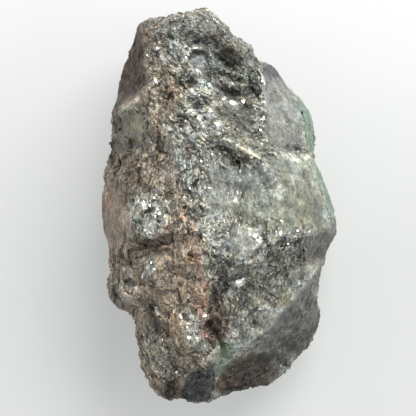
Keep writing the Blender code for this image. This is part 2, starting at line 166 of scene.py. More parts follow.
# The back is broken along planes round the worn flat: direction in degrees from the columns' axis, distance in mm from the
# flat's middle at which the plane leaves the level of the flat, and its slope in degrees
FLAT_MIDDLE = (1.2, 0.5)
BREAKS = [
    (10, 8, 9), (80, 12, 12), (150, 7, 10), (200, 8, 14), (265, 12, 10), (320, 9, 12),
    (0, 13, 30), (48, 19, 33), (92, 22, 30), (135, 19, 36), (183, 13, 33), (228, 20, 30), (272, 24, 33), (318, 19.5, 33),
    (20, 19.5, 62), (335, 27, 60), (60, 30, 60), (110, 34, 58), (160, 20, 65), (200, 19.5, 60), (245, 33, 62), (290, 34, 60),
]

# Crystals: plan and height of the middles of the two ends, radius in mm over the prism's corners, turn about the axis
CRYSTALS = {
    "emerald_upper_right": ((320.0, 91.0, 15.5), (321.0, 153.0, 17.0), 4.8, 4.0),
    "emerald_right_rim": ((317.5, 155.0, 20.0), (334.5, 208.0, 17.5), 2.8, 8.0),
    "emerald_lower": ((226.0, 339.0, 28.0), (216.0, 373.0, 23.4), 2.0, 20.0),
    "beryl_left": ((138.0, 122.0, 15.0), (127.0, 127.0, 30.0), 3.6, 14.0),
}



# ---------------------------------------------------------------- shape


def place(column, row, height):
    """Plan column and row, and a height in millimetres, as a point in metres over the resting surface's uncut level."""
    z = height * MM
    spread = PLAN * (EYE + PLAN_LEVEL - z) / EYE
    return Vector(((column - PLAN_CENTRE[0]) * spread, (PLAN_CENTRE[1] - row) * spread, z))


def plan_of(points):
    """Plan columns and rows of an array of points."""
    spread = PLAN * (EYE + PLAN_LEVEL - points[:, 2]) / EYE
    return PLAN_CENTRE[0] + points[:, 0] / spread, PLAN_CENTRE[1] - points[:, 1] / spread


def broad_face(form):
    points = [place(*p) for p in OUTLINE]
    count = len(points)
    edges = [(i, (i + 1) % count) for i in range(count)]
    for name, group in FACE.items():
        if name in RIDGES:
            edges += [(len(points) + i, len(points) + i + 1) for i in range(len(group) - 1)]
        points += [place(*p) for p in group]
    flat, _, faces, source, _, _ = delaunay_2d_cdt([Vector((p.x / MM, p.y / MM)) for p in points], edges, [], 1, 1e-4)
    verts = [form.verts.new((c.x * MM, c.y * MM, points[o[0]].z)) for c, o in zip(flat, source)]
    for face in faces:
        form.faces.new([verts[i] for i in face])
    where = {origin: vert for vert, origins in zip(verts, source) for origin in origins}
    return [where[i] for i in range(count)]


def break_off(form, point, normal):
    bmesh.ops.bisect_plane(form, geom=form.verts[:] + form.edges[:] + form.faces[:], plane_co=point, plane_no=normal, clear_outer=True)
    rim = [edge for edge in form.edges if edge.is_boundary]
    if rim:
        bmesh.ops.holes_fill(form, edges=rim, sides=0)


def broken_form():
    """The lump's large shape, as in its solid: face, wall round the silhouette, breaks of the back."""
    form = bmesh.new()
    rim = broad_face(form)
    low = [form.verts.new((v.co.x, v.co.y, -0.002)) for v in rim]
    for i in range(len(rim)):
        j = (i + 1) % len(rim)
        form.faces.new((rim[i], rim[j], low[j], low[i]))
    form.faces.new(low)
    bmesh.ops.recalc_face_normals(form, faces=form.faces[:])
    break_off(form, Vector((0, 0, 0)), Vector((0, 0, -1)))
    for direction, distance, slope in BREAKS:
        turn, lean = math.radians(direction), math.radians(slope)
        outward = Vector((math.cos(turn), math.sin(turn), 0))
        point = Vector((FLAT_MIDDLE[0] * MM, FLAT_MIDDLE[1] * MM, 0)) + outward * distance * MM
        break_off(form, point, outward * math.sin(lean) - Vector((0, 0, math.cos(lean))))
    bmesh.ops.triangulate(form, faces=form.faces[:])
    mesh = bpy.data.meshes.new("form")
    form.to_mesh(mesh)
    form.free()
    made = bpy.data.objects.new("form", mesh)
    bpy.context.scene.collection.objects.link(made)
    return made


def add_remesh(obj, size):
    remesh = obj.modifiers.new("remesh", "REMESH")
    remesh.mode = "VOXEL"
    remesh.voxel_size = size


def add_smooth(obj, times):
    soften = obj.modifiers.new("soften", "SMOOTH")
    soften.factor = 0.5
    soften.iterations = times


def apply_all(obj):
    bpy.context.view_layer.update()
    made = bpy.data.meshes.new_from_object(obj.evaluated_get(bpy.context.evaluated_depsgraph_get()))
    obj.modifiers.clear()
    old = obj.data
    obj.data = made
    bpy.data.meshes.remove(old)


def coordinates(mesh):
    co = np.zeros(len(mesh.vertices) * 3)
    mesh.vertices.foreach_get("co", co)
    return co.reshape(-1, 3)


def set_coordinates(mesh, co):
    mesh.vertices.foreach_set("co", co.ravel())
    mesh.update()


def normals(mesh):
    out = np.zeros(len(mesh.vertices) * 3)
    mesh.vertex_normals.foreach_get("vector", out)
    return out.reshape(-1, 3)


# ---------------------------------------------------------------- noise


def scramble(i, j, k, seed):
    """A 32-bit hash of whole numbers."""
    with np.errstate(over="ignore"):
        h = (
            i.astype(np.uint32) * np.uint32(73856093)
            ^ j.astype(np.uint32) * np.uint32(19349663)
            ^ k.astype(np.uint32) * np.uint32(83492791)
            ^ np.uint32((seed * 2654435761) & 0xFFFFFFFF)
        )
        h ^= h >> np.uint32(16)
        h *= np.uint32(0x7FEB352D)
        h ^= h >> np.uint32(15)
        h *= np.uint32(0x846CA68B)
        h ^= h >> np.uint32(16)
    return h


def unit(h, shift=0):
    """A hash as a number from 0 to 1."""
    with np.errstate(over="ignore"):
        g = (h + np.uint32(shift * 0x9E3779B9 & 0xFFFFFFFF)) * np.uint32(0x85EBCA6B)
        g ^= g >> np.uint32(13)
        g *= np.uint32(0xC2B2AE35)
        g ^= g >> np.uint32(16)
    return g / 4294967295.0


def perlin(points, size, seed):
    """Gradient noise, about -1 to 1, with features of that size."""
    q = points / size
    base = np.floor(q)
    f = q - base
    base = base.astype(np.int64)
    u = f * f * f * (f * (f * 6 - 15) + 10)
    out = np.zeros(len(q))
    for a in (0, 1):
        for b in (0, 1):
            for c in (0, 1):
                h = scramble(base[:, 0] + a, base[:, 1] + b, base[:, 2] + c, seed)
                gx, gy, gz = unit(h, 1) * 2 - 1, unit(h, 2) * 2 - 1, unit(h, 3) * 2 - 1
                w = (u[:, 0] if a else 1 - u[:, 0]) * (u[:, 1] if b else 1 - u[:, 1]) * (u[:, 2] if c else 1 - u[:, 2])
                out += w * (gx * (f[:, 0] - a) + gy * (f[:, 1] - b) + gz * (f[:, 2] - c))
    return out * 1.5


def fractal(points, size, seed, octaves=4, gain=0.5):
    out, weight, total = np.zeros(len(points)), 1.0, 0.0
    for n in range(octaves):
        out += weight * perlin(points, size / 2**n, seed + 17 * n)
        total += weight
        weight *= gain
    return out / total * 1.6


def ridged(points, size, seed, octaves=3):
    out, weight, total = np.zeros(len(points)), 1.0, 0.0
    for n in range(octaves):
        out += weight * (1 - 2 * np.abs(perlin(points, size / 2**n, seed + 29 * n)))
        total += weight
        weight *= 0.55
    return out / total


def cells(points, size, seed):
    """Voronoi cells: distance to the nearest centre, to the next, the way from the nearest centre, and its hash. In cell sizes."""
    q = points / size
    base = np.floor(q).astype(np.int64)
    best = np.full(len(q), 9.0)
    second = np.full(len(q), 9.0)
    way = np.zeros_like(q)
    name = np.zeros(len(q), np.uint32)
    for a in (-1, 0, 1):
        for b in (-1, 0, 1):
            for c in (-1, 0, 1):
                i, j, k = base[:, 0] + a, base[:, 1] + b, base[:, 2] + c
                h = scramble(i, j, k, seed)
                centre = np.stack([i + unit(h, 1), j + unit(h, 2), k + unit(h, 3)], 1)
                d = q - centre
                r = np.sqrt((d * d).sum(1))
                near = r < best
                second = np.where(near, best, np.minimum(second, r))
                best = np.where(near, r, best)
                way[near] = d[near]
                name[near] = h[near]
    return best, second, way, name


def shards(points, size, seed, tilt):
    """Relief of small flat flakes, each leaning its own way, as a height in units of length."""
    _, _, way, name = cells(points, size, seed)
    lean = np.stack([unit(name, 5), unit(name, 6), unit(name, 7)], 1) * 2 - 1
    return (way * lean).sum(1) * size * tilt


def smoothstep(low, high, x):
    t = np.clip((x - low) / (high - low), 0, 1)
    return t * t * (3 - 2 * t)


# ---------------------------------------------------------------- plan drawing


def line_distance(column, row, line):
    """Distance in plan units to a drawn line, the side (positive to its right as it runs), and how far along it, from 0 to 1."""
    best = np.full(len(column), 1e9)
    side = np.zeros(len(column))
    along = np.zeros(len(column))
    lengths = [math.hypot(b[0] - a[0], b[1] - a[1]) for a, b in zip(line, line[1:])]
    total, before = sum(lengths), 0.0
    for (x0, y0), (x1, y1), length in zip(line, line[1:], lengths):
        dx, dy = (x1 - x0) / length, (y1 - y0) / length
        t = np.clip((column - x0) * dx + (row - y0) * dy, 0, length)
        px, py = column - x0 - t * dx, row - y0 - t * dy
        d = np.hypot(px, py)
        near = d < best
        best = np.where(near, d, best)
        side = np.where(near, np.sign(dx * py - dy * px), side)
        along = np.where(near, (before + t) / total, along)
        before += length
    return best, side, along


def patch(column, row, middle, radii, turn=0.0, soft=0.35):
    """1 inside an ellipse drawn on the plan, falling to 0 outside."""
    c, s = math.cos(math.radians(turn)), math.sin(math.radians(turn))
    x, y = column - middle[0], row - middle[1]
    r = np.hypot((x * c + y * s) / radii[0], (-x * s + y * c) / radii[1])
    return 1 - smoothstep(1 - soft, 1 + soft, r)


def region(column, row, corners, soft=4.0):
    """1 inside a drawn outline, falling to 0 over soft plan units outside and in."""
    inside = np.zeros(len(column), bool)
    ring = corners + corners[:1]
    for (x0, y0), (x1, y1) in zip(ring, ring[1:]):
        crosses = (y0 > row) != (y1 > row)
        with np.errstate(divide="ignore", invalid="ignore"):
            at = (x1 - x0) * (row - y0) / (y1 - y0 if y1 != y0 else 1e-9) + x0
        inside ^= crosses & (column < at)
    d, _, _ = line_distance(column, row, ring)
    return smoothstep(-soft, soft, np.where(inside, d, -d))


# ---------------------------------------------------------------- kinds of surface and painted light and shade, on the plan

# What each shape on the plan adds: light is painted light and shade in stops, laid over the rock's own lighter and
# darker tones, the others go from 0 to 1.
# area: corners, softness. spot: middle, radii, turn. line: points, width.
PAINT = [
    # knob and its dark side: painted shade on the side turned from the light, over darker mica, with painted highlights
    # along its lit edges
    ("area", [(136, 20), (170, 6), (206, 2), (226, 24), (262, 58), (252, 64), (232, 48), (205, 29), (178, 32), (150, 36)], 4, {"light": -0.5, "glitter": 0.4, "grain": 0.5, "tan": 0.12}),
    ("area", [(186, 31), (208, 33), (232, 47), (254, 64), (262, 76), (262, 92), (246, 104), (230, 100), (216, 84), (206, 66), (194, 50)], 6, {"light": -1.15, "wavy": 1.0, "olive": 0.2}),
    ("spot", (228, 94), (16, 6), 20, {"light": -0.5}),
    ("spot", (222, 42), (20, 5), 38, {"light": -0.4, "brown": 0.5}),
    ("line", [(236, 100), (248, 97), (258, 92)], 3, {"light": 0.9}),
    ("line", [(253, 62), (262, 74), (263, 92)], 3, {"light": 0.7}),
    ("line", [(214, 62), (226, 70), (238, 74), (250, 74)], 2.2, {"light": 0.55}),
    ("line", [(218, 78), (230, 84), (244, 84)], 2.0, {"light": 0.5}),
    ("line", [(206, 44), (222, 56), (236, 62)], 2.0, {"light": 0.4}),
    # swirl of the upper middle, with painted highlights on its ridges, painted shade in its pits and under the ledge
    ("spot", (198, 59), (9, 8), 0, {"blue": 0.8, "smooth": 0.5, "light": -0.05}),
    ("line", [(183, 60), (187, 51), (197, 47), (208, 50), (214, 60)], 2.5, {"light": 0.5}),
    ("spot", (201, 88), (13, 9), 10, {"light": 0.45, "blue": 0.3}),
    ("line", [(183, 94), (196, 90), (208, 92), (220, 88)], 3, {"light": 0.5}),
    ("spot", (194, 104), (6, 5), 0, {"light": -0.9}),
    ("spot", (182, 119), (8, 7), 0, {"light": -0.6}),
    ("spot", (186, 83), (12, 3.5), -8, {"light": -0.4}),
    ("line", [(187, 99), (192, 108), (199, 119), (204, 132), (204, 146)], 2.5, {"light": 0.45}),
    ("spot", (200, 126), (10, 14), 0, {"light": 0.1, "glitter": 0.3}),
    ("spot", (166, 54), (10, 6), 15, {"light": 0.25, "tan": 0.25}),
    ("spot", (172, 94), (13, 12), 0, {"brown": 0.55}),
    ("spot", (160, 80), (12, 20), 0, {"light": 0.05, "brown": 0.2, "glitter": 0.3}),
    ("spot", (158, 40), (14, 8), 0, {"light": -0.2, "brown": 0.3}),
    ("area", [(228, 104), (262, 102), (266, 136), (272, 164), (246, 150), (226, 136), (220, 118)], 5, {"olive": 0.55, "light": -0.35, "smooth": 0.25}),
    ("spot", (244, 118), (15, 8), 10, {"light": -0.25, "blue": 0.3}),
    ("line", [(223, 138), (233, 144), (249, 153), (267, 165)], 2.2, {"light": 0.7, "olive": 0.3}),
    ("area", [(214, 142), (226, 144), (246, 156), (262, 168), (246, 172), (228, 168), (216, 158)], 3.5, {"light": -0.6, "grain": 0.6}),
    ("line", [(222, 146), (228, 156), (232, 166)], 1.6, {"light": 0.6}),
    ("area", [(208, 166), (236, 172), (262, 168), (268, 180), (254, 190), (226, 190), (208, 184)], 5, {"blue": 0.8, "light": -0.35, "smooth": 0.55}),
    ("line", [(212, 176), (230, 180), (248, 186)], 3, {"light": -0.45, "blue": 0.4}),
    # slab behind the step, with painted shade along the step
    ("area", [(262, 56), (272, 60), (287, 78), (300, 96), (304, 112), (304, 130), (301, 149), (285, 150), (270, 141), (266, 120), (265, 100), (264, 80)], 5, {"smooth": 1.0, "light": 0.08, "violet": 0.3, "blue": 0.55}),
    ("spot", (274, 70), (12, 8), 45, {"light": -0.4, "violet": 0.3}),
    ("spot", (282, 96), (12, 14), 20, {"light": 0.15}),
    ("spot", (280, 128), (14, 14), 0, {"olive": 0.35, "light": -0.1, "blue": -0.3}),
    ("spot", (270, 72), (8, 8), 40, {"light": -0.35, "blue": 0.4}),
    ("spot", (282, 120), (5, 3), 0, {"light": 0.3}),
    ("spot", (296, 124), (4, 6), 0, {"light": 0.25}),
    ("spot", (278, 108), (6, 4), 0, {"light": -0.2}),
    ("spot", (292, 138), (9, 7), 0, {"light": -0.2, "blue": 0.2}),
    ("line", [(298, 146), (290, 148), (282, 147)], 2.5, {"light": -0.8}),
    # glassy bulge: olive tone, with painted highlights on its upper patches and rim
    ("area", [(258, 172), (272, 158), (296, 155), (312, 164), (322, 182), (330, 205), (331, 222), (318, 229), (298, 230), (278, 228), (262, 222), (250, 208), (252, 188)], 12, {"smooth": 1.1, "green": 0.07, "olive": 0.62, "light": 0.12}),
    ("spot", (288, 157), (12, 5), 8, {"light": 0.6, "smooth": 0.3}),
    ("spot", (278, 191), (9, 7), 0, {"light": 0.55, "tan": 0.25, "smooth": -0.4, "glitter": 0.4}),
    ("spot", (293, 178), (5, 7), 10, {"light": 0.5}),
    ("spot", (292, 214), (24, 12), -5, {"light": -0.12, "olive": 0.4}),
    ("spot", (270, 176), (9, 7), 30, {"light": -0.3}),
    ("line", [(310, 166), (318, 182), (324, 198), (326, 210)], 4, {"light": 0.45, "green": 0.25}),
    ("line", [(303, 160), (311, 178), (318, 196)], 2.5, {"light": 0.3}),
    ("spot", (240, 208), (18, 10), -15, {"olive": 0.4, "light": 0.05}),
    ("area", [(258, 160), (290, 150), (312, 168), (318, 190), (300, 198), (272, 192), (256, 180)], 9, {"olive": -0.3, "light": 0.05, "blue": 0.15, "grain": 0.4}),
    ("spot", (298, 186), (12, 8), 30, {"light": 0.15}),
    ("line", [(262, 178), (270, 190), (268, 206), (276, 222)], 4, {"light": 0.25}),
    ("line", [(282, 192), (283, 210), (282, 230)], 3.0, {"light": 0.4, "smooth": 0.3}),
    # bright facet and what is round it: painted light on the facet, painted shade under its lower edge
    ("area", [(228, 229), (244, 225), (256, 230), (263, 243), (252, 252), (240, 260), (231, 252), (229, 240)], 2.5, {"smooth": 0.8, "light": 0.8, "blue": 0.1, "brown": -0.5, "tan": -0.5}),
    ("line", [(241, 255), (250, 250), (260, 243)], 3.5, {"light": 0.45, "smooth": 0.4}),
    ("line", [(228, 240), (234, 248), (240, 256)], 2.5, {"light": -0.3}),
    ("line", [(262, 247), (254, 255), (243, 262)], 2.0, {"light": -0.9, "smooth": -0.3}),
    ("area", [(203, 218), (216, 210), (230, 222), (228, 244), (234, 260), (220, 256), (206, 246)], 5, {"light": 0.42, "glitter": 0.5, "blue": 0.2}),
    ("line", [(222, 252), (232, 262), (244, 264)], 2.2, {"light": 0.4}),
    ("line", [(262, 226), (272, 214), (284, 226), (298, 233), (314, 230)], 4, {"light": 0.35, "glitter": 0.6}),
    # dark band under the crest: painted shade on the slope turned from the light
    ("area", [(262, 262), (268, 246), (280, 238), (300, 234), (316, 232), (310, 250), (304, 268), (284, 270)], 4, {"light": -0.55, "grain": 0.8}),
    ("area", [(304, 236), (334, 228), (332, 250), (322, 262), (308, 262)], 4, {"light": -0.55, "smooth": 0.6}),
    ("area", [(210, 266), (226, 268), (238, 274), (236, 290), (222, 296), (210, 288)], 5, {"light": -0.3, "grain": 0.6}),
    ("area", [(232, 268), (262, 262), (300, 270), (300, 288), (284, 304), (262, 306), (238, 300)], 6, {"light": 0.05, "olive": 0.45, "smooth": 0.3, "grain": 0.5}),
    ("spot", (258, 282), (9, 8), 0, {"light": -0.35}),
    ("spot", (281, 300), (8, 8), 0, {"light": 0.35, "smooth": 0.3}),
    ("spot", (304, 270), (12, 5), -30, {"light": 0.25, "smooth": 0.5}),
    ("area", [(228, 300), (262, 304), (276, 308), (262, 330), (244, 342), (228, 340)], 6, {"light": -0.12, "grain": 0.4}),
    # lower ridge and the facets under it: painted highlight on the ridge, painted shade on the facets that face down
    ("line", [(321, 262), (311, 274), (302, 287), (291, 300), (281, 310), (270, 323), (258, 336), (244, 346), (232, 356)], 7, {"light": 0.3, "smooth": 0.6, "blue": 0.2}),
    ("area", [(324, 264), (312, 280), (301, 294), (289, 307), (279, 318), (270, 330), (286, 348), (302, 352), (326, 330)], 4, {"smooth": 0.62, "light": -1.05}),
    ("spot", (303, 308), (7, 12), 0, {"light": -0.25}),
    ("spot", (292, 340), (14, 12), -40, {"light": -0.45}),
    ("area", [(270, 330), (258, 343), (246, 352), (248, 360), (262, 366), (286, 362), (300, 350), (286, 340)], 4, {"light": -0.6, "smooth": 0.4, "brown": 0.2}),
    ("area", [(222, 374), (236, 360), (254, 352), (268, 356), (280, 370), (262, 392), (226, 398), (214, 388)], 4, {"light": -1.5, "smooth": 0.3, "brown": 1.0}),
    ("area", [(230, 356), (262, 348), (300, 336), (332, 300), (346, 340), (300, 400), (220, 400)], 6, {"light": -0.65, "smooth": 0.2}),
    ("area", [(176, 384), (186, 376), (190, 404), (150, 404), (160, 386)], 4, {"tan": 0.35, "brown": 0.5, "light": -0.35}),
    ("spot", (172, 390), (5, 7), 0, {"rust": 0.25, "tan": 0.3}),
    ("spot", (232, 384), (10, 5), 0, {"rust": 0.35, "light": -0.1}),
    ("line", [(226, 368), (240, 358), (258, 352), (272, 344)], 3, {"light": 0.5, "smooth": 0.4}),
    # foot: painted shade on its face that faces down, over a slate-blue tone
    ("area", [(183, 387), (186, 378), (193, 372), (203, 367), (212, 361), (214, 374), (213, 388), (208, 402), (184, 402)], 3, {"light": -2.2, "smooth": 0.35, "blue": 0.5, "brown": -0.8, "tan": -0.6}),
    # crevice and its banks: painted shade down the crevice, painted highlights on its banks, red films
    ("area", [(204, 304), (214, 296), (224, 312), (230, 330), (226, 344), (214, 346), (206, 334)], 5, {"light": -0.7, "brown": 0.6, "rust": 0.08, "grain": 0.4}),
    ("line", [(216, 298), (217, 312), (218, 328), (219, 342)], 1.6, {"light": -1.0}),
    ("line", [(222, 300), (226, 314), (228, 326)], 1.4, {"light": -0.9}),
    ("line", [(212, 318), (214, 330), (217, 340)], 1.5, {"light": 0.5, "rust": 0.3}),
    ("line", [(209, 306), (212, 316)], 1.5, {"light": -0.8}),
    ("line", [(224, 318), (223, 332), (224, 342)], 1.3, {"light": 0.5, "rust": 0.4}),
    ("area", [(176, 318), (186, 310), (198, 314), (200, 330), (204, 346), (192, 350), (182, 340)], 4, {"light": 0.3, "glitter": 1.0, "brown": -0.6}),
    ("area", [(194, 316), (204, 312), (214, 330), (214, 346), (204, 340)], 4, {"light": -0.25, "brown": 0.3, "rust": 0.2}),
    ("area", [(182, 350), (200, 354), (212, 354), (208, 364), (190, 374), (176, 372)], 5, {"brown": 0.4, "tan": 0.35, "light": -0.05}),
    ("line", [(174, 306), (177, 322), (179, 342), (180, 362)], 5, {"tan": 0.2, "light": -0.05}),
    ("line", [(149, 304), (152, 314), (158, 330)], 4, {"light": -0.5}),
    ("area", [(140, 342), (160, 340), (176, 352), (180, 380), (166, 390), (148, 372)], 6, {"light": 0.2, "brown": -0.2, "glitter": 0.4, "green": 0.06, "blue": 0.15}),
    ("area", [(112, 300), (140, 296), (150, 320), (146, 350), (130, 340)], 7, {"light": 0.15, "brown": 0.2, "smooth": 0.3}),
    ("spot", (156, 374), (10, 5), 20, {"light": 0.45, "glitter": 1.0}),
    ("area", [(150, 384), (176, 376), (184, 396), (160, 396)], 4, {"light": -0.6, "brown": 0.3, "tan": 0.2}),
    # left side, from the top: painted shade on the facet turned from the light, painted highlights on its ridges,
    # painted shade under the lumps
    ("area", [(141, 22), (144, 40), (146, 60), (147, 86), (133, 98), (112, 113), (113, 80), (124, 54), (132, 26)], 4, {"smooth": 0.8, "light": -1.35, "brown": 0.9, "rust": 0.2}),
    ("line", [(144, 30), (146, 60), (148, 88)], 2.2, {"light": 0.45}),
    ("line", [(147, 88), (136, 98), (126, 106), (116, 118)], 3.5, {"light": 0.5, "brown": -0.3}),
    ("spot", (137, 106), (8, 4), -20, {"light": 0.1, "blue": 0.5}),
    ("area", [(112, 112), (128, 106), (146, 110), (148, 140), (138, 152), (114, 152)], 4, {"light": -0.35, "olive": 0.6, "smooth": 0.3, "brown": -0.5}),
    ("line", [(112, 140), (113, 158), (112, 168)], 3, {"light": -1.0}),
    ("area", [(118, 158), (146, 156), (156, 172), (152, 190), (128, 192), (112, 182)], 6, {"light": -0.5, "brown": 0.4}),
    ("area", [(100, 178), (116, 180), (126, 200), (128, 240), (112, 258), (98, 240)], 8, {"smooth": 0.9, "light": 0.5, "brown": 0.6, "rust": 0.10, "tan": 0.1}),
    ("spot", (111, 204), (4, 6), 0, {"rust": 0.5}),
    ("area", [(128, 204), (140, 194), (158, 194), (168, 206), (166, 228), (150, 240), (134, 234)], 4, {"light": 0.38, "brown": -0.75, "glitter": 0.9, "grain": 0.6}),
    ("spot", (138, 212), (7, 8), 0, {"light": 0.4}),
    ("spot", (152, 206), (5, 5), 0, {"light": -0.5}),
    ("spot", (158, 224), (5, 6), 0, {"light": -0.35}),
    ("spot", (147, 231), (8, 4), 0, {"light": 0.3}),
    ("spot", (153, 244), (10, 4), 0, {"light": -0.95, "brown": 0.4}),
    ("spot", (148, 268), (9, 8), 0, {"light": 0.32, "brown": -0.5, "glitter": 0.9}),
    ("spot", (131, 283), (6, 5), 0, {"light": -0.45}),
    ("area", [(110, 262), (126, 258), (138, 270), (136, 296), (126, 308), (110, 298)], 6, {"light": -0.1, "brown": -0.2, "smooth": 0.2}),
    ("area", [(152, 244), (200, 236), (206, 300), (176, 318), (150, 300)], 9, {"brown": 0.45, "light": 0.22, "smooth": 0.35}),
    ("area", [(164, 174), (196, 190), (204, 226), (172, 226), (160, 200)], 8, {"tan": 0.18, "grain": 0.7, "light": 0.02}),
    ("line", [(176, 150), (186, 170), (198, 192), (206, 214)], 7, {"light": 0.22, "blue": 0.35, "brown": -0.5}),
    ("line", [(178, 212), (188, 222), (200, 232)], 4, {"light": 0.4, "rust": 0.35}),
    ("area", [(186, 150), (216, 150), (228, 170), (250, 190), (260, 214), (232, 222), (208, 214), (196, 190)], 8, {"light": 0.28, "olive": 0.2, "grain": 0.4}),
    # threads and gaps of the upper part: painted highlights and glints on the mica, painted shade in the gaps
    ("spot", (156, 49), (2.4, 1.8), 30, {"light": 1.3}),
    ("spot", (158.5, 52), (2.5, 1.8), 0, {"light": -1.2}),
    ("line", [(160, 52), (168, 57), (177, 63)], 1.5, {"light": 0.5}),
    ("line", [(161, 54), (169, 59), (177, 66)], 1.3, {"light": -0.7}),
    ("spot", (172, 53), (4.5, 3.5), 20, {"light": 0.5, "tan": 0.2}),
    ("line", [(189, 58), (192, 55), (197, 53.5), (203, 54), (208, 59)], 1.8, {"light": -1.1}),
    ("line", [(183, 61), (186, 55), (190, 51), (196, 48), (203, 49.5), (209, 55), (213, 62)], 2.0, {"light": 0.6}),
    ("spot", (198.5, 63), (5, 4), 0, {"light": 0.25, "green": 0.15}),
    ("spot", (195, 68), (5, 2.6), 0, {"light": 0.45, "tan": 0.15}),
    ("spot", (192, 74), (8, 5), 10, {"light": 0.35, "violet": 0.6}),
    ("line", [(173, 77), (180, 78.5), (186, 81)], 1.6, {"light": 0.7}),
    ("line", [(178, 82), (186, 82.5), (194, 82.5)], 1.8, {"light": -0.9}),
    ("spot", (183, 87), (7, 3.5), 0, {"light": -0.7, "brown": 0.7}),
    ("spot", (203, 85), (5, 4.5), 0, {"light": 0.2, "blue": 0.6}),
    ("line", [(205, 72), (210, 80), (216, 87), (224, 92)], 1.8, {"light": -1.0}),
    ("line", [(189, 96), (196, 94.5), (204, 92.5), (210, 92)], 2.0, {"light": 0.75}),
    ("spot", (190, 100), (3, 3), 0, {"light": -0.9}),
    ("spot", (197.5, 105), (5, 4), 20, {"light": -1.0}),
    ("line", [(187, 102), (190, 108), (194, 114), (197, 121)], 2.4, {"light": 0.8}),
    ("line", [(162, 84), (166, 90), (171, 97)], 1.5, {"light": 0.5}),
    ("line", [(163.5, 84), (168, 91), (173, 98)], 1.3, {"light": -0.7}),
    ("line", [(175, 96), (175.5, 104), (174, 112)], 1.8, {"light": 0.5, "blue": 0.6}),
    ("spot", (181, 107), (3.5, 4.5), 0, {"light": -0.7}),
    ("line", [(176, 113), (183, 112), (189, 115)], 1.6, {"light": 0.7}),
    ("line", [(177, 117), (184, 118), (190, 120)], 1.6, {"light": -0.8}),
    ("spot", (173, 91), (4, 5), 20, {"rust": 0.3}),
    ("spot", (145.2, 55), (1.6, 3.5), 0, {"light": 1.2}),
    ("spot", (159, 71), (4, 8), 0, {"light": 0.4}),
    ("spot", (210, 110.5), (3, 2), 0, {"light": 1.0}),
    ("spot", (217.5, 122.5), (3.5, 2.4), 20, {"light": 1.3}),
    ("spot", (233.5, 102.5), (5, 2.8), 25, {"light": 1.9, "smooth": 0.5}),
    ("spot", (244, 100), (3, 2), 0, {"light": 1.5}),
    ("spot", (224, 98), (3, 2.4), 0, {"light": 1.0}),
    ("spot", (263, 118.5), (2.2, 2.2), 0, {"light": 1.4}),
    ("spot", (262, 110), (1.8, 3), 0, {"light": 0.9}),
    ("spot", (170, 119), (2.6, 2.2), 0, {"light": 1.0}),
    ("spot", (234, 43), (6, 4), 20, {"light": 0.55}),
    ("area", [(222, 46), (232, 46), (242, 56), (242, 66), (236, 70), (226, 62)], 3, {"light": -0.5, "brown": 0.5}),
    ("line", [(254, 50), (253, 58), (251, 66), (249, 74)], 3.0, {"blue": 0.9, "light": 0.35, "smooth": 0.4}),
    ("line", [(255, 62), (256, 68)], 1.8, {"light": -1.4}),
    ("spot", (245, 74), (5, 2), -15, {"green": 0.35}),
    ("spot", (234, 80), (2.5, 1.6), 0, {"rust": 0.4}),
    ("line", [(259, 70), (262, 76), (263, 84), (261, 91)], 2.2, {"light": 0.8}),
    ("line", [(212, 77), (220, 81), (230, 84), (240, 86)], 1.6, {"light": 0.6}),
    ("line", [(216, 87), (225, 88.5), (236, 86)], 1.6, {"light": 0.6}),
    ("line", [(211, 81), (218, 86), (226, 91.5), (235, 99), (243, 96), (256, 92)], 2.0, {"light": -1.2}),
    ("line", [(240, 62), (246, 70), (244, 78)], 1.6, {"light": 0.4}),
    ("line", [(184, 64), (184, 57), (188, 51), (195, 47.5), (203, 48.5), (210, 54), (213, 62), (212, 70)], 1.6, {"light": 0.6}),
    ("line", [(188, 62), (190, 56), (196, 53), (203, 54), (208, 60)], 1.5, {"light": -0.8}),
    ("area", [(190, 58), (197, 55), (205, 58), (208, 66), (202, 72), (192, 70)], 2.5, {"smooth": 0.5, "blue": 0.7, "light": 0.12, "olive": -0.3}),
    ("line", [(208, 60), (210, 68), (208, 76)], 1.4, {"light": -0.7}),
    ("line", [(187, 72), (195, 77), (204, 77)], 1.4, {"light": -0.6}),
    ("line", [(214, 70), (222, 74), (232, 74)], 1.8, {"light": -0.7}),
    ("line", [(218, 62), (226, 68), (236, 71)], 1.6, {"light": 0.45}),
    ("line", [(206, 38), (216, 44), (226, 52), (232, 60)], 1.6, {"light": 0.35}),
    ("line", [(198, 34), (208, 40), (220, 50)], 1.6, {"light": 0.3}),
    ("line", [(222, 104), (232, 112), (240, 122)], 1.6, {"light": -0.9}),
    ("line", [(225, 103), (236, 112), (246, 124)], 1.6, {"light": 0.5}),
    # rest of the front, in patches, most of them painted light and shade
    ("spot", (274, 72), (13, 9), 45, {"light": -0.55, "violet": 0.1}),
    ("area", [(308, 198), (318, 200), (322, 222), (312, 228), (306, 214)], 5, {"light": -0.6, "olive": 0.1}),
    ("area", [(320, 224), (338, 222), (336, 246), (324, 256), (312, 258), (314, 240)], 4, {"light": -0.55, "smooth": 0.3}),
    ("spot", (245, 119), (15, 12), 10, {"light": -0.55}),
    ("area", [(120, 104), (128, 97), (142, 92), (148, 100), (138, 108), (124, 112)], 4, {"light": 0.65, "smooth": 0.4}),
    ("spot", (131, 126), (13, 14), 0, {"light": 0.3}),
    ("spot", (136, 175), (15, 14), 0, {"light": 0.3}),
    ("area", [(102, 176), (118, 178), (120, 242), (106, 246)], 6, {"light": -0.3, "tan": 0.12}),
    ("area", [(110, 266), (134, 264), (138, 298), (116, 304)], 6, {"light": 0.5}),
    ("spot", (150, 322), (10, 12), 0, {"light": 0.15}),
    ("spot", (153, 360), (13, 16), 0, {"light": 0.3}),
    ("spot", (318, 251), (9, 8), 0, {"light": -0.4}),
    ("spot", (284, 250), (16, 11), 0, {"light": 0.25}),
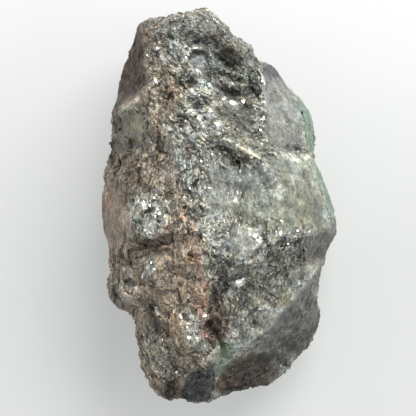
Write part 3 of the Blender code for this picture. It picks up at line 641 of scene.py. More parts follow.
    ("spot", (276, 282), (15, 14), 0, {"light": -0.4}),
    ("spot", (246, 318), (16, 18), 0, {"smooth": 0.3, "light": -0.05}),
    ("spot", (223, 202), (18, 11), 0, {"smooth": 0.3}),
    ("spot", (244, 174), (16, 10), 0, {"smooth": 0.25}),
    ("spot", (293, 157), (9, 4), 5, {"light": 0.35, "olive": -0.3}),
    ("spot", (298, 147), (3, 3), 0, {"light": -1.3}),
    ("line", [(313, 170), (316, 182), (320, 194)], 3.0, {"light": 0.3, "violet": 0.3, "olive": -0.5}),
    ("spot", (327, 215), (6, 6), 60, {"light": 0.25, "blue": 0.5, "olive": -0.5}),
    ("line", [(304, 96), (311, 108), (315, 124), (317, 140)], 3.0, {"green": 0.3, "smooth": 0.9, "light": 0.1}),
    ("line", [(315.5, 141), (317, 148), (314.5, 156)], 2.2, {"light": -1.2, "smooth": 0.6, "brown": 0.8, "green": -0.6}),
    ("line", [(316, 162), (323, 178), (329, 194), (334, 212)], 3.0, {"green": 0.3, "smooth": 0.8, "light": 0.05}),
    ("line", [(302, 153), (307, 155), (310, 160)], 2.4, {"tan": 0.25, "green": 0.12, "light": 0.2}),
    ("spot", (306, 158), (2.5, 2.5), 0, {"light": 0.7}),
    # foot and its sides: rust and tan, with painted shade in the groove beside the foot
    ("line", [(224, 376), (225, 384), (223, 391)], 4.0, {"rust": 0.55, "light": 0.35}),
    ("spot", (252, 356), (8, 4), -10, {"rust": 0.2, "light": -0.2}),
    ("spot", (246, 372), (12, 8), 0, {"light": 0.25, "tan": 0.15}),
    ("spot", (266, 358), (6, 12), 20, {"light": -0.4}),
    ("spot", (262, 377), (7, 5), 0, {"olive": 0.8, "light": 0.35}),
    ("line", [(217, 372), (225, 364), (235, 357), (247, 352), (262, 350)], 1.8, {"light": 0.7, "tan": 0.3}),
    ("spot", (155, 386), (7, 8), 30, {"tan": 0.5, "brown": 0.5, "light": 0.1}),
    ("line", [(168, 380), (169, 390), (168, 397)], 3.0, {"light": -1.2}),
    ("line", [(178, 380), (180, 390), (184, 398)], 3.0, {"tan": 0.6, "light": 0.1}),
    ("spot", (195, 378), (7, 5), -20, {"light": 0.3}),
    ("spot", (204, 388), (6, 6), 0, {"light": -0.3}),
    # lower left, in streaks of tan and brown, with painted shade in its groove and a painted glint
    ("line", [(176, 300), (175, 318), (178, 336), (184, 352), (192, 362)], 6.0, {"tan": 0.2, "brown": 0.5, "glitter": -0.5}),
    ("line", [(167, 304), (170, 322), (171, 340)], 4.0, {"tan": 0.2, "brown": 0.4, "light": -0.15}),
    ("line", [(151, 300), (154, 314), (158, 328), (159, 338)], 2.5, {"light": -0.5}),
    ("line", [(160, 344), (168, 356), (175, 372), (178, 384)], 4.0, {"light": -0.5, "blue": 0.3}),
    ("spot", (206, 315), (5, 2.6), -20, {"light": 0.9}),
    ("line", [(202, 330), (208, 337), (213, 345)], 3.0, {"light": 0.55, "rust": 0.2}),
    ("area", [(203, 318), (212, 314), (224, 322), (225, 338), (216, 344), (208, 332)], 3, {"light": -0.3, "rust": 0.1}),
    ("line", [(222, 350), (240, 342), (256, 334), (270, 322), (284, 307)], 5.0, {"smooth": 0.3, "light": 0.12}),
    # thin red films
    ("line", [(196, 246), (199, 258), (200, 272), (203, 290)], 2.4, {"rust": 0.95}),
    ("line", [(190, 236), (192, 256), (195, 274)], 2.4, {"rust": 0.4}),
    ("line", [(200, 298), (199, 308), (200, 316)], 2.4, {"rust": 0.95}),
    ("line", [(192, 300), (194, 308)], 2.0, {"rust": 0.5}),
    ("line", [(206, 276), (205, 290), (208, 304)], 1.8, {"rust": 0.4}),
    ("line", [(220, 294), (222, 306)], 2.2, {"rust": 0.7}),
    ("line", [(220, 312), (224, 319), (229, 326)], 2.0, {"rust": 0.8}),
    ("line", [(203, 328), (207, 336), (211, 344)], 3.2, {"rust": 0.65}),
    ("line", [(216, 272), (214, 286)], 2.0, {"rust": 0.5}),
    ("line", [(180, 207), (184, 217)], 3.0, {"rust": 0.5}),
    ("spot", (188, 152), (4, 8), 0, {"rust": 0.45}),
    ("spot", (176, 168), (6, 6), 0, {"rust": 0.2}),
    ("spot", (104, 250), (5, 14), 0, {"rust": 0.25}),
    ("spot", (170, 104), (5, 9), 0, {"rust": 0.22}),
    # painted highlights where mica mirrors the light, with painted shade between two of them
    ("spot", (239.5, 283.5), (6.5, 3.4), -15, {"light": 3.0, "smooth": 0.5, "olive": -0.6}),
    ("spot", (244.5, 280.5), (4, 2.4), -25, {"light": 3.0, "smooth": 0.5, "olive": -0.6}),
    ("spot", (253.5, 234.5), (4.5, 2.2), 20, {"light": 2.0}),
    ("spot", (260, 239.5), (3, 3), 30, {"light": 2.0}),
    ("spot", (257, 237.5), (2.2, 1.6), 20, {"light": -3.5}),
    ("spot", (249.5, 229.5), (2.6, 1.8), 20, {"light": 1.5}),
    ("spot", (198, 231), (5, 3), 15, {"light": 1.3, "tan": 0.2}),
    ("spot", (145, 155), (3, 2), 0, {"light": 1.3}),
    ("spot", (208, 317), (5, 3.5), -20, {"light": 0.9}),
    ("spot", (210, 290), (3.5, 3), 0, {"light": 0.8}),
    ("spot", (236, 296), (4, 2.5), -10, {"light": 0.8}),
    ("spot", (273, 289), (3, 1.6), 0, {"light": 0.8}),
    ("spot", (268, 306), (4, 2), 0, {"light": 0.7}),
    # painted light and shade where the surface is still lighter or darker than it should be
    ("spot", (272, 71), (9, 11), 45, {"light": -0.3}),
    ("spot", (215, 32), (17, 7), 20, {"light": -0.3}),
    ("spot", (158, 96), (9, 16), 0, {"light": -0.25}),
    ("spot", (208, 116), (20, 14), 0, {"light": -0.25}),
    ("spot", (212, 162), (14, 12), 0, {"light": -0.3, "olive": 0.2}),
    ("spot", (284, 180), (13, 18), 10, {"light": -0.2}),
    ("spot", (251, 260), (11, 5), -20, {"light": -0.5}),
    ("spot", (300, 280), (14, 18), 38, {"light": -0.55}),
    ("spot", (272, 312), (9, 8), 0, {"light": -0.35}),
    ("spot", (252, 332), (9, 8), 0, {"light": -0.3}),
    ("spot", (190, 340), (10, 9), 0, {"light": -0.3}),
    ("spot", (192, 370), (12, 9), -20, {"light": -0.35}),
    ("spot", (120, 290), (11, 7), 0, {"light": -0.3}),
    ("spot", (157, 218), (9, 17), 0, {"light": -0.3}),
    ("spot", (187, 78), (8, 7), 0, {"light": 0.3}),
    ("spot", (222, 88), (8, 5), 0, {"light": 0.4}),
    ("spot", (252, 86), (8, 6), 0, {"light": 0.35}),
    ("spot", (108, 110), (9, 50), 0, {"light": 0.25}),
    ("spot", (140, 107), (11, 8), -20, {"light": 0.3}),
    ("spot", (128, 212), (8, 17), 0, {"light": 0.3}),
    ("spot", (186, 222), (15, 17), 0, {"light": 0.25}),
    ("spot", (193, 190), (8, 10), 0, {"light": 0.3}),
    ("spot", (202, 245), (12, 20), 0, {"light": 0.3}),
    ("spot", (258, 220), (8, 20), 0, {"light": 0.25}),
    ("spot", (210, 292), (6, 8), 0, {"light": 0.3}),
    ("spot", (164, 179), (14, 20), 0, {"light": 0.12, "brown": 0.1}),
    ("spot", (154, 132), (14, 20), 0, {"light": 0.2}),
    ("area", [(122, 44), (140, 40), (144, 88), (122, 92)], 5, {"rust": 0.12, "brown": 0.2}),
    ("area", [(202, 165), (230, 176), (258, 190), (258, 214), (236, 222), (214, 212)], 8, {"smooth": 0.3, "olive": 0.15}),
    ("area", [(122, 47), (141, 39), (144, 90), (119, 95)], 4, {"rust": 0.4, "brown": 0.3, "tan": 0.2, "light": -0.3}),
    # crystal of the left side: painted shade on its face turned from the light, pale greenish corner, cold top
    ("spot", (122, 124), (6.5, 8), 0, {"light": -0.65}),
    ("spot", (133, 128), (6.5, 6.5), -20, {"light": 0.45, "tan": 0.35}),
    ("spot", (141, 128), (4.5, 6), 0, {"light": 0.5, "green": 0.3}),
    ("spot", (136, 111), (6, 4), -20, {"light": 0.1, "blue": 0.5}),
    ("line", [(126, 112), (134, 120), (143, 130)], 2.0, {"light": 0.3}),
    # upper right crystal: whitish at its top, fuller colour low down
    ("spot", (306, 104), (4, 8), 0, {"light": 0.35}),
    ("spot", (313, 140), (4, 9), 0, {"light": -0.25, "green": 0.3}),
    ("spot", (225, 349), (6, 6), 0, {"light": 0.55}),
    # foot: slate-dark face with a tan rim carrying painted highlight, a black gap of painted shade and a brown heel on
    # its left, mottled brown on its right
    ("line", [(181, 388), (182, 380), (187, 374), (196, 368.5), (206, 363), (211, 358)], 1.7, {"light": 0.8, "tan": 0.8, "brown": 0.4}),
    ("line", [(213, 370), (213, 380), (211, 390), (205, 397)], 2.0, {"light": 0.5, "brown": 0.6}),
    ("spot", (193, 384), (5, 6), 0, {"light": 0.2, "blue": 0.3}),
    ("spot", (203, 377), (5, 4), 20, {"light": -0.6}),
    ("spot", (190, 393), (5, 4), 0, {"light": 0.4}),
    ("spot", (206, 389), (4, 5), 0, {"light": 0.5, "blue": 0.4}),
    ("spot", (198, 391), (3, 3), 0, {"light": -0.4}),
    ("area", [(165, 382), (176, 380), (183, 388), (182, 400), (168, 400)], 3, {"light": -0.9, "brown": 0.5}),
    ("line", [(176, 384), (180, 392), (182, 399)], 1.6, {"tan": 0.5, "light": 0.6}),
    ("spot", (156, 386), (6, 6), 20, {"tan": 0.5, "light": 0.3, "rust": 0.15}),
    ("spot", (224, 384), (3, 4), 0, {"rust": 0.8, "light": 0.6}),
    ("spot", (230, 377), (4, 3), 0, {"rust": 0.4, "light": 0.4}),
    ("spot", (238, 384), (4, 3), 0, {"rust": 0.3, "light": 0.4}),
    ("spot", (246, 380), (4, 5), 0, {"light": -0.5}),
    ("spot", (252, 370), (5, 3), -20, {"light": 0.4, "tan": 0.2}),
    ("spot", (262, 366), (4, 5), 0, {"light": -0.4}),
    ("spot", (268, 376), (4, 4), 0, {"light": 0.45, "tan": 0.3, "olive": 0.5}),
    # broken lower right: painted highlights on its paler edges and painted shade in its dark hollows
    ("line", [(314, 268), (312, 284), (317, 300), (315, 322)], 1.8, {"light": 0.5}),
    ("line", [(300, 300), (304, 316), (300, 334), (290, 346)], 1.8, {"light": 0.55}),
    ("spot", (296, 322), (5, 8), 10, {"light": -0.5}),
    ("spot", (309, 300), (4, 8), 0, {"light": -0.4}),
    ("spot", (310, 326), (5, 7), 0, {"light": 0.35}),
    ("spot", (284, 334), (6, 4), -40, {"light": 0.5}),
    ("spot", (278, 356), (5, 4), -30, {"light": -0.4}),
    # green stone at the foot
    ("area", [(219, 341), (230, 339), (232, 350), (227, 362), (222, 373), (213, 373), (213, 364), (217, 352)], 3, {"green": 0.12, "light": 0.2, "smooth": 0.4, "brown": -0.8, "rust": -0.5}),
    ("line", [(230, 342), (226, 356), (219, 370)], 1.6, {"light": 0.3}),
    # dark rim of the left side: painted shade where the side turns away
    ("line", [(104, 192), (102.5, 212), (104, 232), (108, 252)], 2.0, {"light": -0.8, "rust": 0.2}),
    ("line", [(112, 138), (111, 150), (109, 162)], 1.8, {"light": -1.3}),
    ("spot", (264, 59), (6, 5), 0, {"smooth": 0.9}),
    ("spot", (141, 20), (6, 5), 0, {"smooth": 0.8}),
    ("spot", (318, 212), (5, 10), 0, {"light": -0.35, "blue": 0.2}),
    ("line", [(322, 208), (326, 214), (330, 222)], 2.0, {"light": 0.5, "blue": 0.5, "olive": -0.6}),
    ("spot", (292, 157), (8, 3), 0, {"light": 0.3}),
    ("spot", (285, 157), (4, 2.5), 0, {"light": 0.4}),
    ("line", [(276, 171), (284, 163), (292, 160)], 1.8, {"light": -0.3}),
    ("spot", (280, 198), (3, 2), 0, {"light": 1.0}),
    ("spot", (294, 181), (4, 6), 10, {"light": 0.35}),
    ("spot", (317, 146), (4.5, 11), 0, {"smooth": 1.0}),
    ("spot", (315, 164), (4, 6), 0, {"smooth": 0.8}),
    # striped hollow under the thin ridge, its stripes lit by painted light
    ("line", [(220, 150), (226, 159), (231, 168)], 1.5, {"light": 0.6}),
    ("line", [(226, 148), (233, 158), (238, 166)], 1.5, {"light": 0.6}),
    ("line", [(232, 150), (240, 160), (246, 166)], 1.4, {"light": 0.5}),
    ("spot", (236, 158), (12, 9), 20, {"light": 0.3}),
    # silvery lump of the left side: painted highlight along its left and lower edge, painted shade under it
    ("line", [(136, 196), (131, 206), (132, 218), (138, 228), (148, 234), (156, 233)], 3.2, {"light": 0.45}),
    ("spot", (160, 208), (4, 6), 0, {"light": 0.3}),
    ("line", [(134, 236), (146, 242), (158, 240), (166, 234)], 2.0, {"light": -0.6, "brown": 0.5}),
    # brown flank
    ("area", [(102, 180), (118, 178), (124, 200), (122, 244), (108, 258), (100, 230)], 6, {"brown": 0.3, "tan": 0.15, "rust": 0.12, "light": -0.1}),
    ("area", [(114, 112), (126, 120), (128, 150), (112, 152)], 4, {"tan": 0.2}),
    # bright facet once more, with painted light and painted highlight lines
    ("area", [(228, 229), (244, 225), (256, 230), (262, 242), (252, 251), (240, 259), (231, 251), (229, 240)], 2.5, {"light": 0.1, "smooth": 0.7, "blue": 0.4, "olive": -0.5}),
    ("line", [(242, 255), (250, 250), (259, 244)], 2.4, {"light": 0.35}),
    ("line", [(232, 236), (240, 244), (247, 250)], 2.0, {"light": 0.2}),
    # green stone of the foot: paler at its top
    ("spot", (224, 344), (8, 5), 0, {"light": 0.6, "green": -0.35}),
    ("spot", (228, 351), (4, 5), 0, {"light": 0.25}),
    # stone of the left side: more painted shade on its dark face
    ("spot", (121, 124), (8, 10), 0, {"light": -0.6, "brown": 0.2}),
    ("spot", (131, 128), (5, 4), -20, {"light": 0.3, "tan": 0.3}),
    # painted highlight along the lower ridge, and a cooler band under it
    ("line", [(318, 268), (306, 282), (294, 297), (280, 312)], 1.4, {"light": 0.5, "blue": 0.3, "olive": -0.4}),
    ("line", [(278, 318), (262, 330), (246, 342), (230, 352)], 3.5, {"blue": 0.4, "olive": -0.5, "tan": -0.4}),
    # balance of the broad zones: painted light and shade
    ("area", [(262, 176), (290, 164), (312, 172), (322, 198), (322, 224), (296, 228), (270, 222), (256, 204)], 7, {"light": -0.16, "olive": 0.2}),
    ("line", [(304, 100), (310, 112), (314, 126), (315, 140), (311, 148)], 4.0, {"light": -0.6}),
    ("line", [(316, 166), (323, 180), (329, 196), (333, 208)], 3.5, {"light": -0.7}),
    ("area", [(204, 186), (236, 192), (262, 196), (262, 222), (232, 224), (210, 214)], 7, {"smooth": 0.35, "light": -0.08}),
    ("line", [(220, 136), (233, 143), (250, 152), (267, 164)], 1.6, {"light": 0.6, "smooth": 0.3}),
    ("area", [(150, 20), (170, 10), (204, 6), (222, 24), (200, 28), (176, 30), (154, 36)], 5, {"grain": 0.5, "glitter": 0.4, "wavy": 0.4}),
    ("line", [(160, 22), (172, 17), (186, 15), (200, 14)], 1.6, {"light": 0.45}),
    ("line", [(164, 27), (176, 22), (192, 21)], 1.5, {"light": -0.6}),
    ("line", [(150, 30), (160, 28), (172, 29), (184, 34)], 1.5, {"light": -0.5}),
    # dark flank of the upper knob: painted shade
    ("area", [(196, 26), (222, 34), (246, 52), (257, 78), (236, 74), (212, 54)], 6, {"light": -0.3}),
    # painted white glint low in the middle
    ("spot", (240, 283), (5, 2.6), -20, {"light": 1.2, "smooth": 0.6}),
    # green touches outside the crystals
    ("spot", (240, 81), (6, 5), 0, {"green": 0.3}),
    ("spot", (186, 103), (4, 9), 10, {"green": 0.3, "light": 0.1}),
    ("line", [(303, 152), (309, 160), (314, 168)], 3.0, {"green": 0.16, "light": 0.2}),
    ("spot", (226, 348), (8, 7), 0, {"green": 0.1, "light": -0.1, "smooth": 0.4}),
]
KINDS = ("light", "smooth", "glitter", "grain", "wavy", "brown", "olive", "blue", "violet", "green", "rust", "tan")

# Large mica flakes, turned toward the light and painted bright: column, row, width in mm, turn of the long side
GLINTS = [
    (233.5, 102.5, 1.15, 25), (244, 100, 0.6, 10), (224, 98, 0.5, 0), (217.5, 122.5, 0.5, 20), (263, 118.5, 0.45, 0), (260, 129, 0.42, 30),
    (238.5, 283.5, 1.3, -15), (243.5, 280.5, 0.8, -25), (253, 236, 0.8, 50), (257.5, 240, 0.75, 40), (262, 81, 0.42, 80), (145.5, 55, 0.4, 88),
    (156, 49, 0.38, 20), (189, 336, 0.6, 10), (187, 329, 0.42, 0), (198, 338, 0.38, 30), (143, 336, 0.45, 0), (156, 372, 0.6, 20),
    (148, 206, 0.6, 60), (158, 213, 0.55, 30), (141, 222, 0.7, 70), (136, 214, 0.5, 10), (150, 262, 0.5, 0), (154, 270, 0.55, 40),
    (200, 162, 0.5, 60), (211, 187, 0.4, 0), (184, 120, 0.3, 20), (210, 110, 0.35, 10), (236, 199, 0.6, -30), (282, 222, 0.32, 30),
    (298, 232, 0.35, 0), (206, 316, 0.7, -25), (176, 371, 0.5, 80), (181, 376, 0.45, 80), (163, 380, 0.45, 20), (288, 246, 0.4, 0),
]

# Small breaks of the broad face: kind, line, width in plan units, height in mm
STROKES = [
    ("ridge", [(222, 137), (233, 143), (250, 152), (266, 163), (272, 169)], 1.5, 0.5),
    ("scarp", [(255, 60), (261, 72), (263, 86), (262, 98), (264, 110), (264, 124)], 5.0, -0.6),
    ("groove", [(190, 40), (205, 46), (219, 56), (233, 68), (246, 80)], 5.0, 0.3),
    ("ridge", [(186, 28), (204, 30), (220, 39), (234, 50), (247, 61)], 2.5, 0.3),
    ("ridge", [(214, 62), (226, 70), (238, 74), (250, 74)], 1.6, 0.35),
    ("ridge", [(218, 78), (230, 84), (244, 84), (254, 80)], 1.6, 0.35),
    ("ridge", [(206, 44), (222, 56), (236, 62)], 1.5, 0.3),
    ("groove", [(212, 68), (226, 77), (242, 79)], 2.0, 0.4),
    ("groove", [(216, 86), (228, 92), (242, 91)], 2.2, 0.5),
    ("groove", [(228, 148), (238, 156), (250, 164)], 4.0, 0.3),
    ("ridge", [(262, 166), (268, 176), (272, 188)], 1.8, 0.3),
    ("scarp", [(223, 252), (233, 262), (247, 265), (258, 260), (264, 247), (277, 240)], 3.0, -0.7),
    ("ridge", [(321, 263), (311, 275), (302, 288), (291, 301), (281, 311), (270, 324), (260, 333), (247, 342), (236, 350)], 2.2, 0.45),
    ("groove", [(215, 268), (214, 285), (213, 300), (209, 316), (214, 330), (220, 342)], 3.0, 0.4),
    ("groove", [(203, 322), (212, 330), (218, 338)], 4.0, 0.3),
    ("groove", [(147, 302), (152, 312), (156, 326), (158, 338)], 3.0, 0.45),
    ("groove", [(138, 246), (150, 247), (162, 242)], 4.0, 0.6),
    ("groove", [(180, 82), (190, 81), (198, 84)], 2.0, 0.35),
    ("groove", [(189, 101), (196, 106), (200, 103)], 3.0, 0.6),
    ("groove", [(176, 116), (184, 121)], 3.5, 0.5),
    ("ridge", [(187, 99), (192, 108), (199, 119), (204, 132), (204, 146)], 2.0, 0.45),
    ("ridge", [(183, 60), (187, 51), (197, 47), (208, 50), (214, 60), (212, 70)], 1.8, 0.45),
    ("groove", [(188, 62), (192, 55), (200, 52), (207, 56)], 1.8, 0.3),
    ("ridge", [(183, 94), (196, 90), (208, 92), (220, 88)], 2.0, 0.45),
    ("groove", [(186, 98), (198, 96), (210, 98)], 2.0, 0.35),
    ("ridge", [(147, 90), (136, 100), (126, 108), (118, 116)], 2.6, 0.4),
    ("groove", [(148, 92), (152, 104), (150, 118)], 3.0, 0.4),
    ("ridge", [(151, 40), (156, 62), (154, 84), (158, 104)], 1.8, 0.3),
    ("ridge", [(160, 46), (166, 66), (170, 88), (171, 112)], 1.8, 0.3),
    ("groove", [(156, 46), (161, 66), (163, 84)], 1.8, 0.3),
    ("groove", [(172, 50), (176, 70), (178, 92), (178, 116)], 1.8, 0.3),
    ("ridge", [(183, 390), (184, 381), (191, 374), (201, 368), (212, 362)], 1.6, 0.5),
    ("groove", [(213, 368), (214, 380), (212, 392)], 1.8, 0.4),
    ("groove", [(168, 381), (172, 390), (174, 398)], 2.4, 0.6),
    ("ridge", [(222, 371), (232, 362), (244, 356), (262, 350)], 2.0, 0.35),
    ("scarp", [(284, 147), (296, 147), (308, 152)], 3.0, 0.4),
    ("groove", [(286, 147), (299, 149)], 2.2, 0.5),
    ("ridge", [(272, 189), (280, 186), (286, 192)], 2.5, 0.3),
    ("groove", [(226, 182), (238, 188), (252, 187)], 4.0, 0.25),
    ("ridge", [(178, 213), (190, 223), (202, 233)], 2.2, 0.45),
    ("groove", [(196, 236), (212, 240), (226, 236)], 3.0, 0.3),
    ("scarp", [(108, 262), (116, 256), (128, 262), (136, 274)], 3.0, 0.5),
    ("groove", [(128, 279), (133, 284)], 2.4, 0.3),
    ("groove", [(244, 306), (252, 318), (256, 330)], 2.5, 0.3),
    ("groove", [(270, 256), (268, 276), (258, 292)], 2.5, 0.4),
    ("groove", [(232, 274), (244, 280), (252, 290)], 3.0, 0.4),
    ("ridge", [(252, 272), (256, 286), (252, 300)], 2.2, 0.35),
    ("ridge", [(296, 266), (306, 270), (314, 264)], 3.0, 0.35),
    ("groove", [(284, 278), (292, 286)], 3.0, 0.4),
    ("groove", [(146, 200), (150, 212), (148, 224)], 2.0, 0.45),
    ("groove", [(156, 214), (160, 226)], 2.0, 0.4),
    ("groove", [(184, 318), (188, 332), (196, 344)], 1.8, 0.3),
]


def near_shape(kind, shape, rest, column, row):
    """1 in a shape drawn on the plan, falling to 0 round it, and which points it reaches."""
    if kind == "spot":
        reach = max(rest[0]) * 1.5
        near = np.nonzero((np.abs(column - shape[0]) < reach) & (np.abs(row - shape[1]) < reach))[0]
        return near, patch(column[near], row[near], shape, rest[0], rest[1], 0.45)
    soft = rest[0] * (3.2 if kind == "line" else 1.2)
    xs, ys = [p[0] for p in shape], [p[1] for p in shape]
    near = np.nonzero((column > min(xs) - soft) & (column < max(xs) + soft) & (row > min(ys) - soft) & (row < max(ys) + soft))[0]
    if kind == "area":
        return near, region(column[near], row[near], shape, rest[0])
    d, _, along = line_distance(column[near], row[near], shape)
    return near, np.exp(-((d / rest[0]) ** 2)) * (0.35 + 0.65 * smoothstep(0, 0.15, along) * (1 - smoothstep(0.85, 1, along)))


def strokes_relief(column, row):
    out = np.zeros(len(column))
    for kind, line, width, height in STROKES:
        xs, ys = [p[0] for p in line], [p[1] for p in line]
        reach = width * 4 + 2
        near = np.nonzero((column > min(xs) - reach) & (column < max(xs) + reach) & (row > min(ys) - reach) & (row < max(ys) + reach))[0]
        d, side, along = line_distance(column[near], row[near], line)
        ends = smoothstep(-0.02, 0.18, along) * (1 - smoothstep(0.82, 1.02, along))
        if kind == "ridge":
            out[near] += height * np.exp(-d / width) * ends
        elif kind == "groove":
            out[near] -= height * np.exp(-((d / width) ** 2)) * ends
        else:
            out[near] += 0.5 * height * side * np.exp(-d / width) * ends
    return out


def zones(points, up):
    """What the surface is at each point, with the painted light and shade on it. up is how far it faces up."""
    warp = np.stack([fractal(points, 0.0035, 300, 3), fractal(points, 0.0035, 320, 3)], 1) * 2.6
    exact = plan_of(points)
    column, row = exact[0] + warp[:, 0], exact[1] + warp[:, 1]
    front = smoothstep(0.0012, 0.0032, points[:, 2]) * smoothstep(-0.22, 0.02, up)
    z = {kind: np.zeros(len(points)) for kind in KINDS}
    border = np.interp(row, [0, 60, 100, 150, 200, 250, 300, 340, 380], [140, 158, 172, 178, 180, 200, 206, 196, 180])
    z["brown"] += 0.8 * smoothstep(24, -24, column - border)
    for kind, shape, *rest in PAINT:
        small = max(rest[0]) < 6.6 if kind == "spot" else rest[0] <= (2.5 if kind == "line" else 3)
        near, amount = near_shape(kind, shape, rest[:-1], *(exact if small else (column, row)))
        for name, value in rest[-1].items():
            z[name][near] += value * amount
    # Round the sides and on the back the same kinds of rock come and go
    other = 1 - front
    a, b, c = fractal(points, 0.014, 400, 3), fractal(points, 0.011, 430, 3), fractal(points, 0.008, 460, 3)
    back = {
        "brown": smoothstep(-0.2, 0.35, a - points[:, 0] * 16),
        "smooth": 0.35 + 0.5 * smoothstep(0.0, 0.35, b),
        "light": 0.55 * c + 0.35 * smoothstep(0.1, 0.5, b) - 0.2,
        "olive": 0.6 * smoothstep(0.1, 0.5, b) * smoothstep(-0.3, 0.2, c),
        "rust": 0.6 * smoothstep(0.34, 0.6, fractal(points, 0.007, 490, 3)),
        "glitter": 0.4 * smoothstep(0.1, -0.4, b),
        "blue": 0.5 * smoothstep(0.2, 0.5, -a),
    }
    # painted light: the whole front a little lighter
    z["light"] += 0.16
    z["grain"] += smoothstep(175, 120, row) * smoothstep(135, 160, column) + 0.3 * smoothstep(250, 200, row)
    for name in KINDS:
        z[name] = z[name] * front + other * back.get(name, 0.0)
        low = -3.0 if name == "light" else 0.0
        z[name] = np.clip(z[name], low, 2.2 if name == "light" else 1.0)
    z["front"], z["column"], z["row"] = front, exact[0], exact[1]
    return z


# ---------------------------------------------------------------- the lump


def lump_mesh():
    """The lump with its breaks, foliation and grains, and a copy of it without the crystals' sockets."""
    form = broken_form()
    add_remesh(form, 0.00055)
    add_smooth(form, 5)
    apply_all(form)
    co, no = coordinates(form.data), normals(form.data)
    z = zones(co, no[:, 2])
    group = form.vertex_groups.new(name="rough")
    steps = np.round((1 - 0.95 * z["smooth"]) * 12).astype(int)
    for value in range(13):
        group.add(np.nonzero(steps == value)[0].tolist(), value / 12, "REPLACE")
    for name, kind, size, strength in ROUGHNESS:
        texture = bpy.data.textures.new(name, kind)
        texture.noise_scale = size
        rough = form.modifiers.new(name, "DISPLACE")
        rough.texture = texture
        rough.texture_coords = "LOCAL"
        rough.strength = strength
        rough.mid_level = 0.5
        if name != "lumps":
            rough.vertex_group = "rough"
    add_remesh(form, FINE)
    apply_all(form)
    form.vertex_groups.clear()
    mesh = form.data
    print("worked mesh", len(mesh.vertices))

    # Breaks and ridges of the broad face, chips and foliation
    co, no = coordinates(mesh), normals(mesh)
    z = zones(co, no[:, 2])
    column, row = plan_of(co)
    wobble = np.stack([perlin(co, 0.0025, 11), perlin(co, 0.0025, 12)], 1) * 1.5
    relief = strokes_relief(column + wobble[:, 0], row + wobble[:, 1]) * MM * z["front"]
    gem = np.zeros(len(co))
    for name in CRYSTALS:
        gem = np.maximum(gem, smoothstep(-0.0006, 0.0002, inside_prism(name, co)))
    rough = (1 - 0.97 * z["smooth"]) * (1 - 0.85 * gem)
    relief += shards(warped(co, 0.004, 0.0012, 101), 0.0065, 51, 0.16) * rough
    relief += shards(warped(co, 0.002, 0.0006, 111), 0.0028, 52, 0.19) * (0.02 + 0.98 * rough)
    set_coordinates(mesh, co + no * relief[:, None])

    # Foliation and mica grains
    co, no = coordinates(mesh), normals(mesh)
    relief = shards(warped(co, 0.0011, 0.0004, 121), 0.00125, 53, 0.22) * rough
    relief += 0.00011 * foliation(co, z) * rough * (1 + 0.8 * z["wavy"])
    relief += 0.00006 * perlin(co, 0.00065, 71) * (0.5 + 0.5 * rough)
    relief += 0.00016 * fractal(warped(co, 0.003, 0.0010, 141), 0.0024, 72, 3) * z["smooth"]
    co = co + no * relief[:, None]
    co[:, 2] = np.maximum(co[:, 2], FLAT_CUT)
    set_coordinates(mesh, co)
    skin = form.copy()
    skin.data = mesh.copy()
    skin.name = "skin"

    # Sockets under the crystals
    co, no = coordinates(mesh), normals(mesh)
    for name in CRYSTALS:
        depth = inside_prism(name, co) - 0.00015 + 0.0006 * fractal(co, 0.0013, 78, 3)
        lap = smoothstep(-0.0003, 0.0, depth) * (1 - smoothstep(0.0, 0.0002, depth))
        co = co - no * (0.0006 * smoothstep(0.0, 0.0004, depth) - 0.00006 * lap)[:, None]
    co[:, 2] = np.maximum(co[:, 2], FLAT_CUT)
    set_coordinates(mesh, co)
    return form, skin


def warped(points, size, amount, seed):
    """The points pushed about by smooth noise, to bend what is drawn on them."""
    return points + amount * np.stack([perlin(points, size, seed + n) for n in range(3)], 1)


def foliation(points, z):
    """Thin wavy edges of the mica sheets, about 0 to 1, running along the lump and down to the right on the upper part."""
    bent = warped(points, 0.0045, 0.0016, 131)
    along = bent * np.array([1.0, 0.28, 0.6])
    c, s = math.cos(math.radians(-38)), math.sin(math.radians(-38))
    x, y = bent[:, 0] * c - bent[:, 1] * s, bent[:, 0] * s + bent[:, 1] * c
    slant = np.stack([x * 0.28, y, bent[:, 2] * 0.6], 1)
    a = 1 - 2.2 * np.abs(perlin(along, 0.0010, 141))
    b = 1 - 2.2 * np.abs(perlin(slant, 0.0010, 142))
    upper = smoothstep(0.004, 0.016, points[:, 1] + 0.35 * points[:, 0])
    return np.clip(a * (1 - upper) + b * upper, -0.4, 1) ** 1


def thin_rock(obj, faces):
    """Fewer triangles, mostly from the back."""
    mesh = obj.data
    co, no = coordinates(mesh), normals(mesh)
    keep = smoothstep(-0.3, 0.25, no[:, 2]) * 0.75
    group = obj.vertex_groups.new(name="keep")
    steps = np.round(keep * 8).astype(int)
    for value in range(9):
        group.add(np.nonzero(steps == value)[0].tolist(), float(1 - value / 8), "REPLACE")
    have = sum(len(p.vertices) - 2 for p in mesh.polygons)
    if have > faces:
        thin = obj.modifiers.new("thin", "DECIMATE")
        thin.ratio = faces / have
        thin.vertex_group = "keep"
        thin.vertex_group_factor = 1.0
        apply_all(obj)
    mesh = obj.data
    obj.vertex_groups.clear()
    triangles = bmesh.new()
    triangles.from_mesh(mesh)
    bmesh.ops.triangulate(triangles, faces=triangles.faces[:])
    triangles.to_mesh(mesh)
    triangles.free()
    print(obj.name, have, "->", len(mesh.polygons))


def prism_axes(name):
    start, end, radius, turn = CRYSTALS[name]
    a, b = place(*start), place(*end)
    axis = (b - a).normalized()
    turned = axis.to_track_quat("Z", "X").to_matrix() @ Matrix.Rotation(math.radians(turn), 3, "Z")
    return np.array(a), np.array(b), np.array(turned), radius * MM


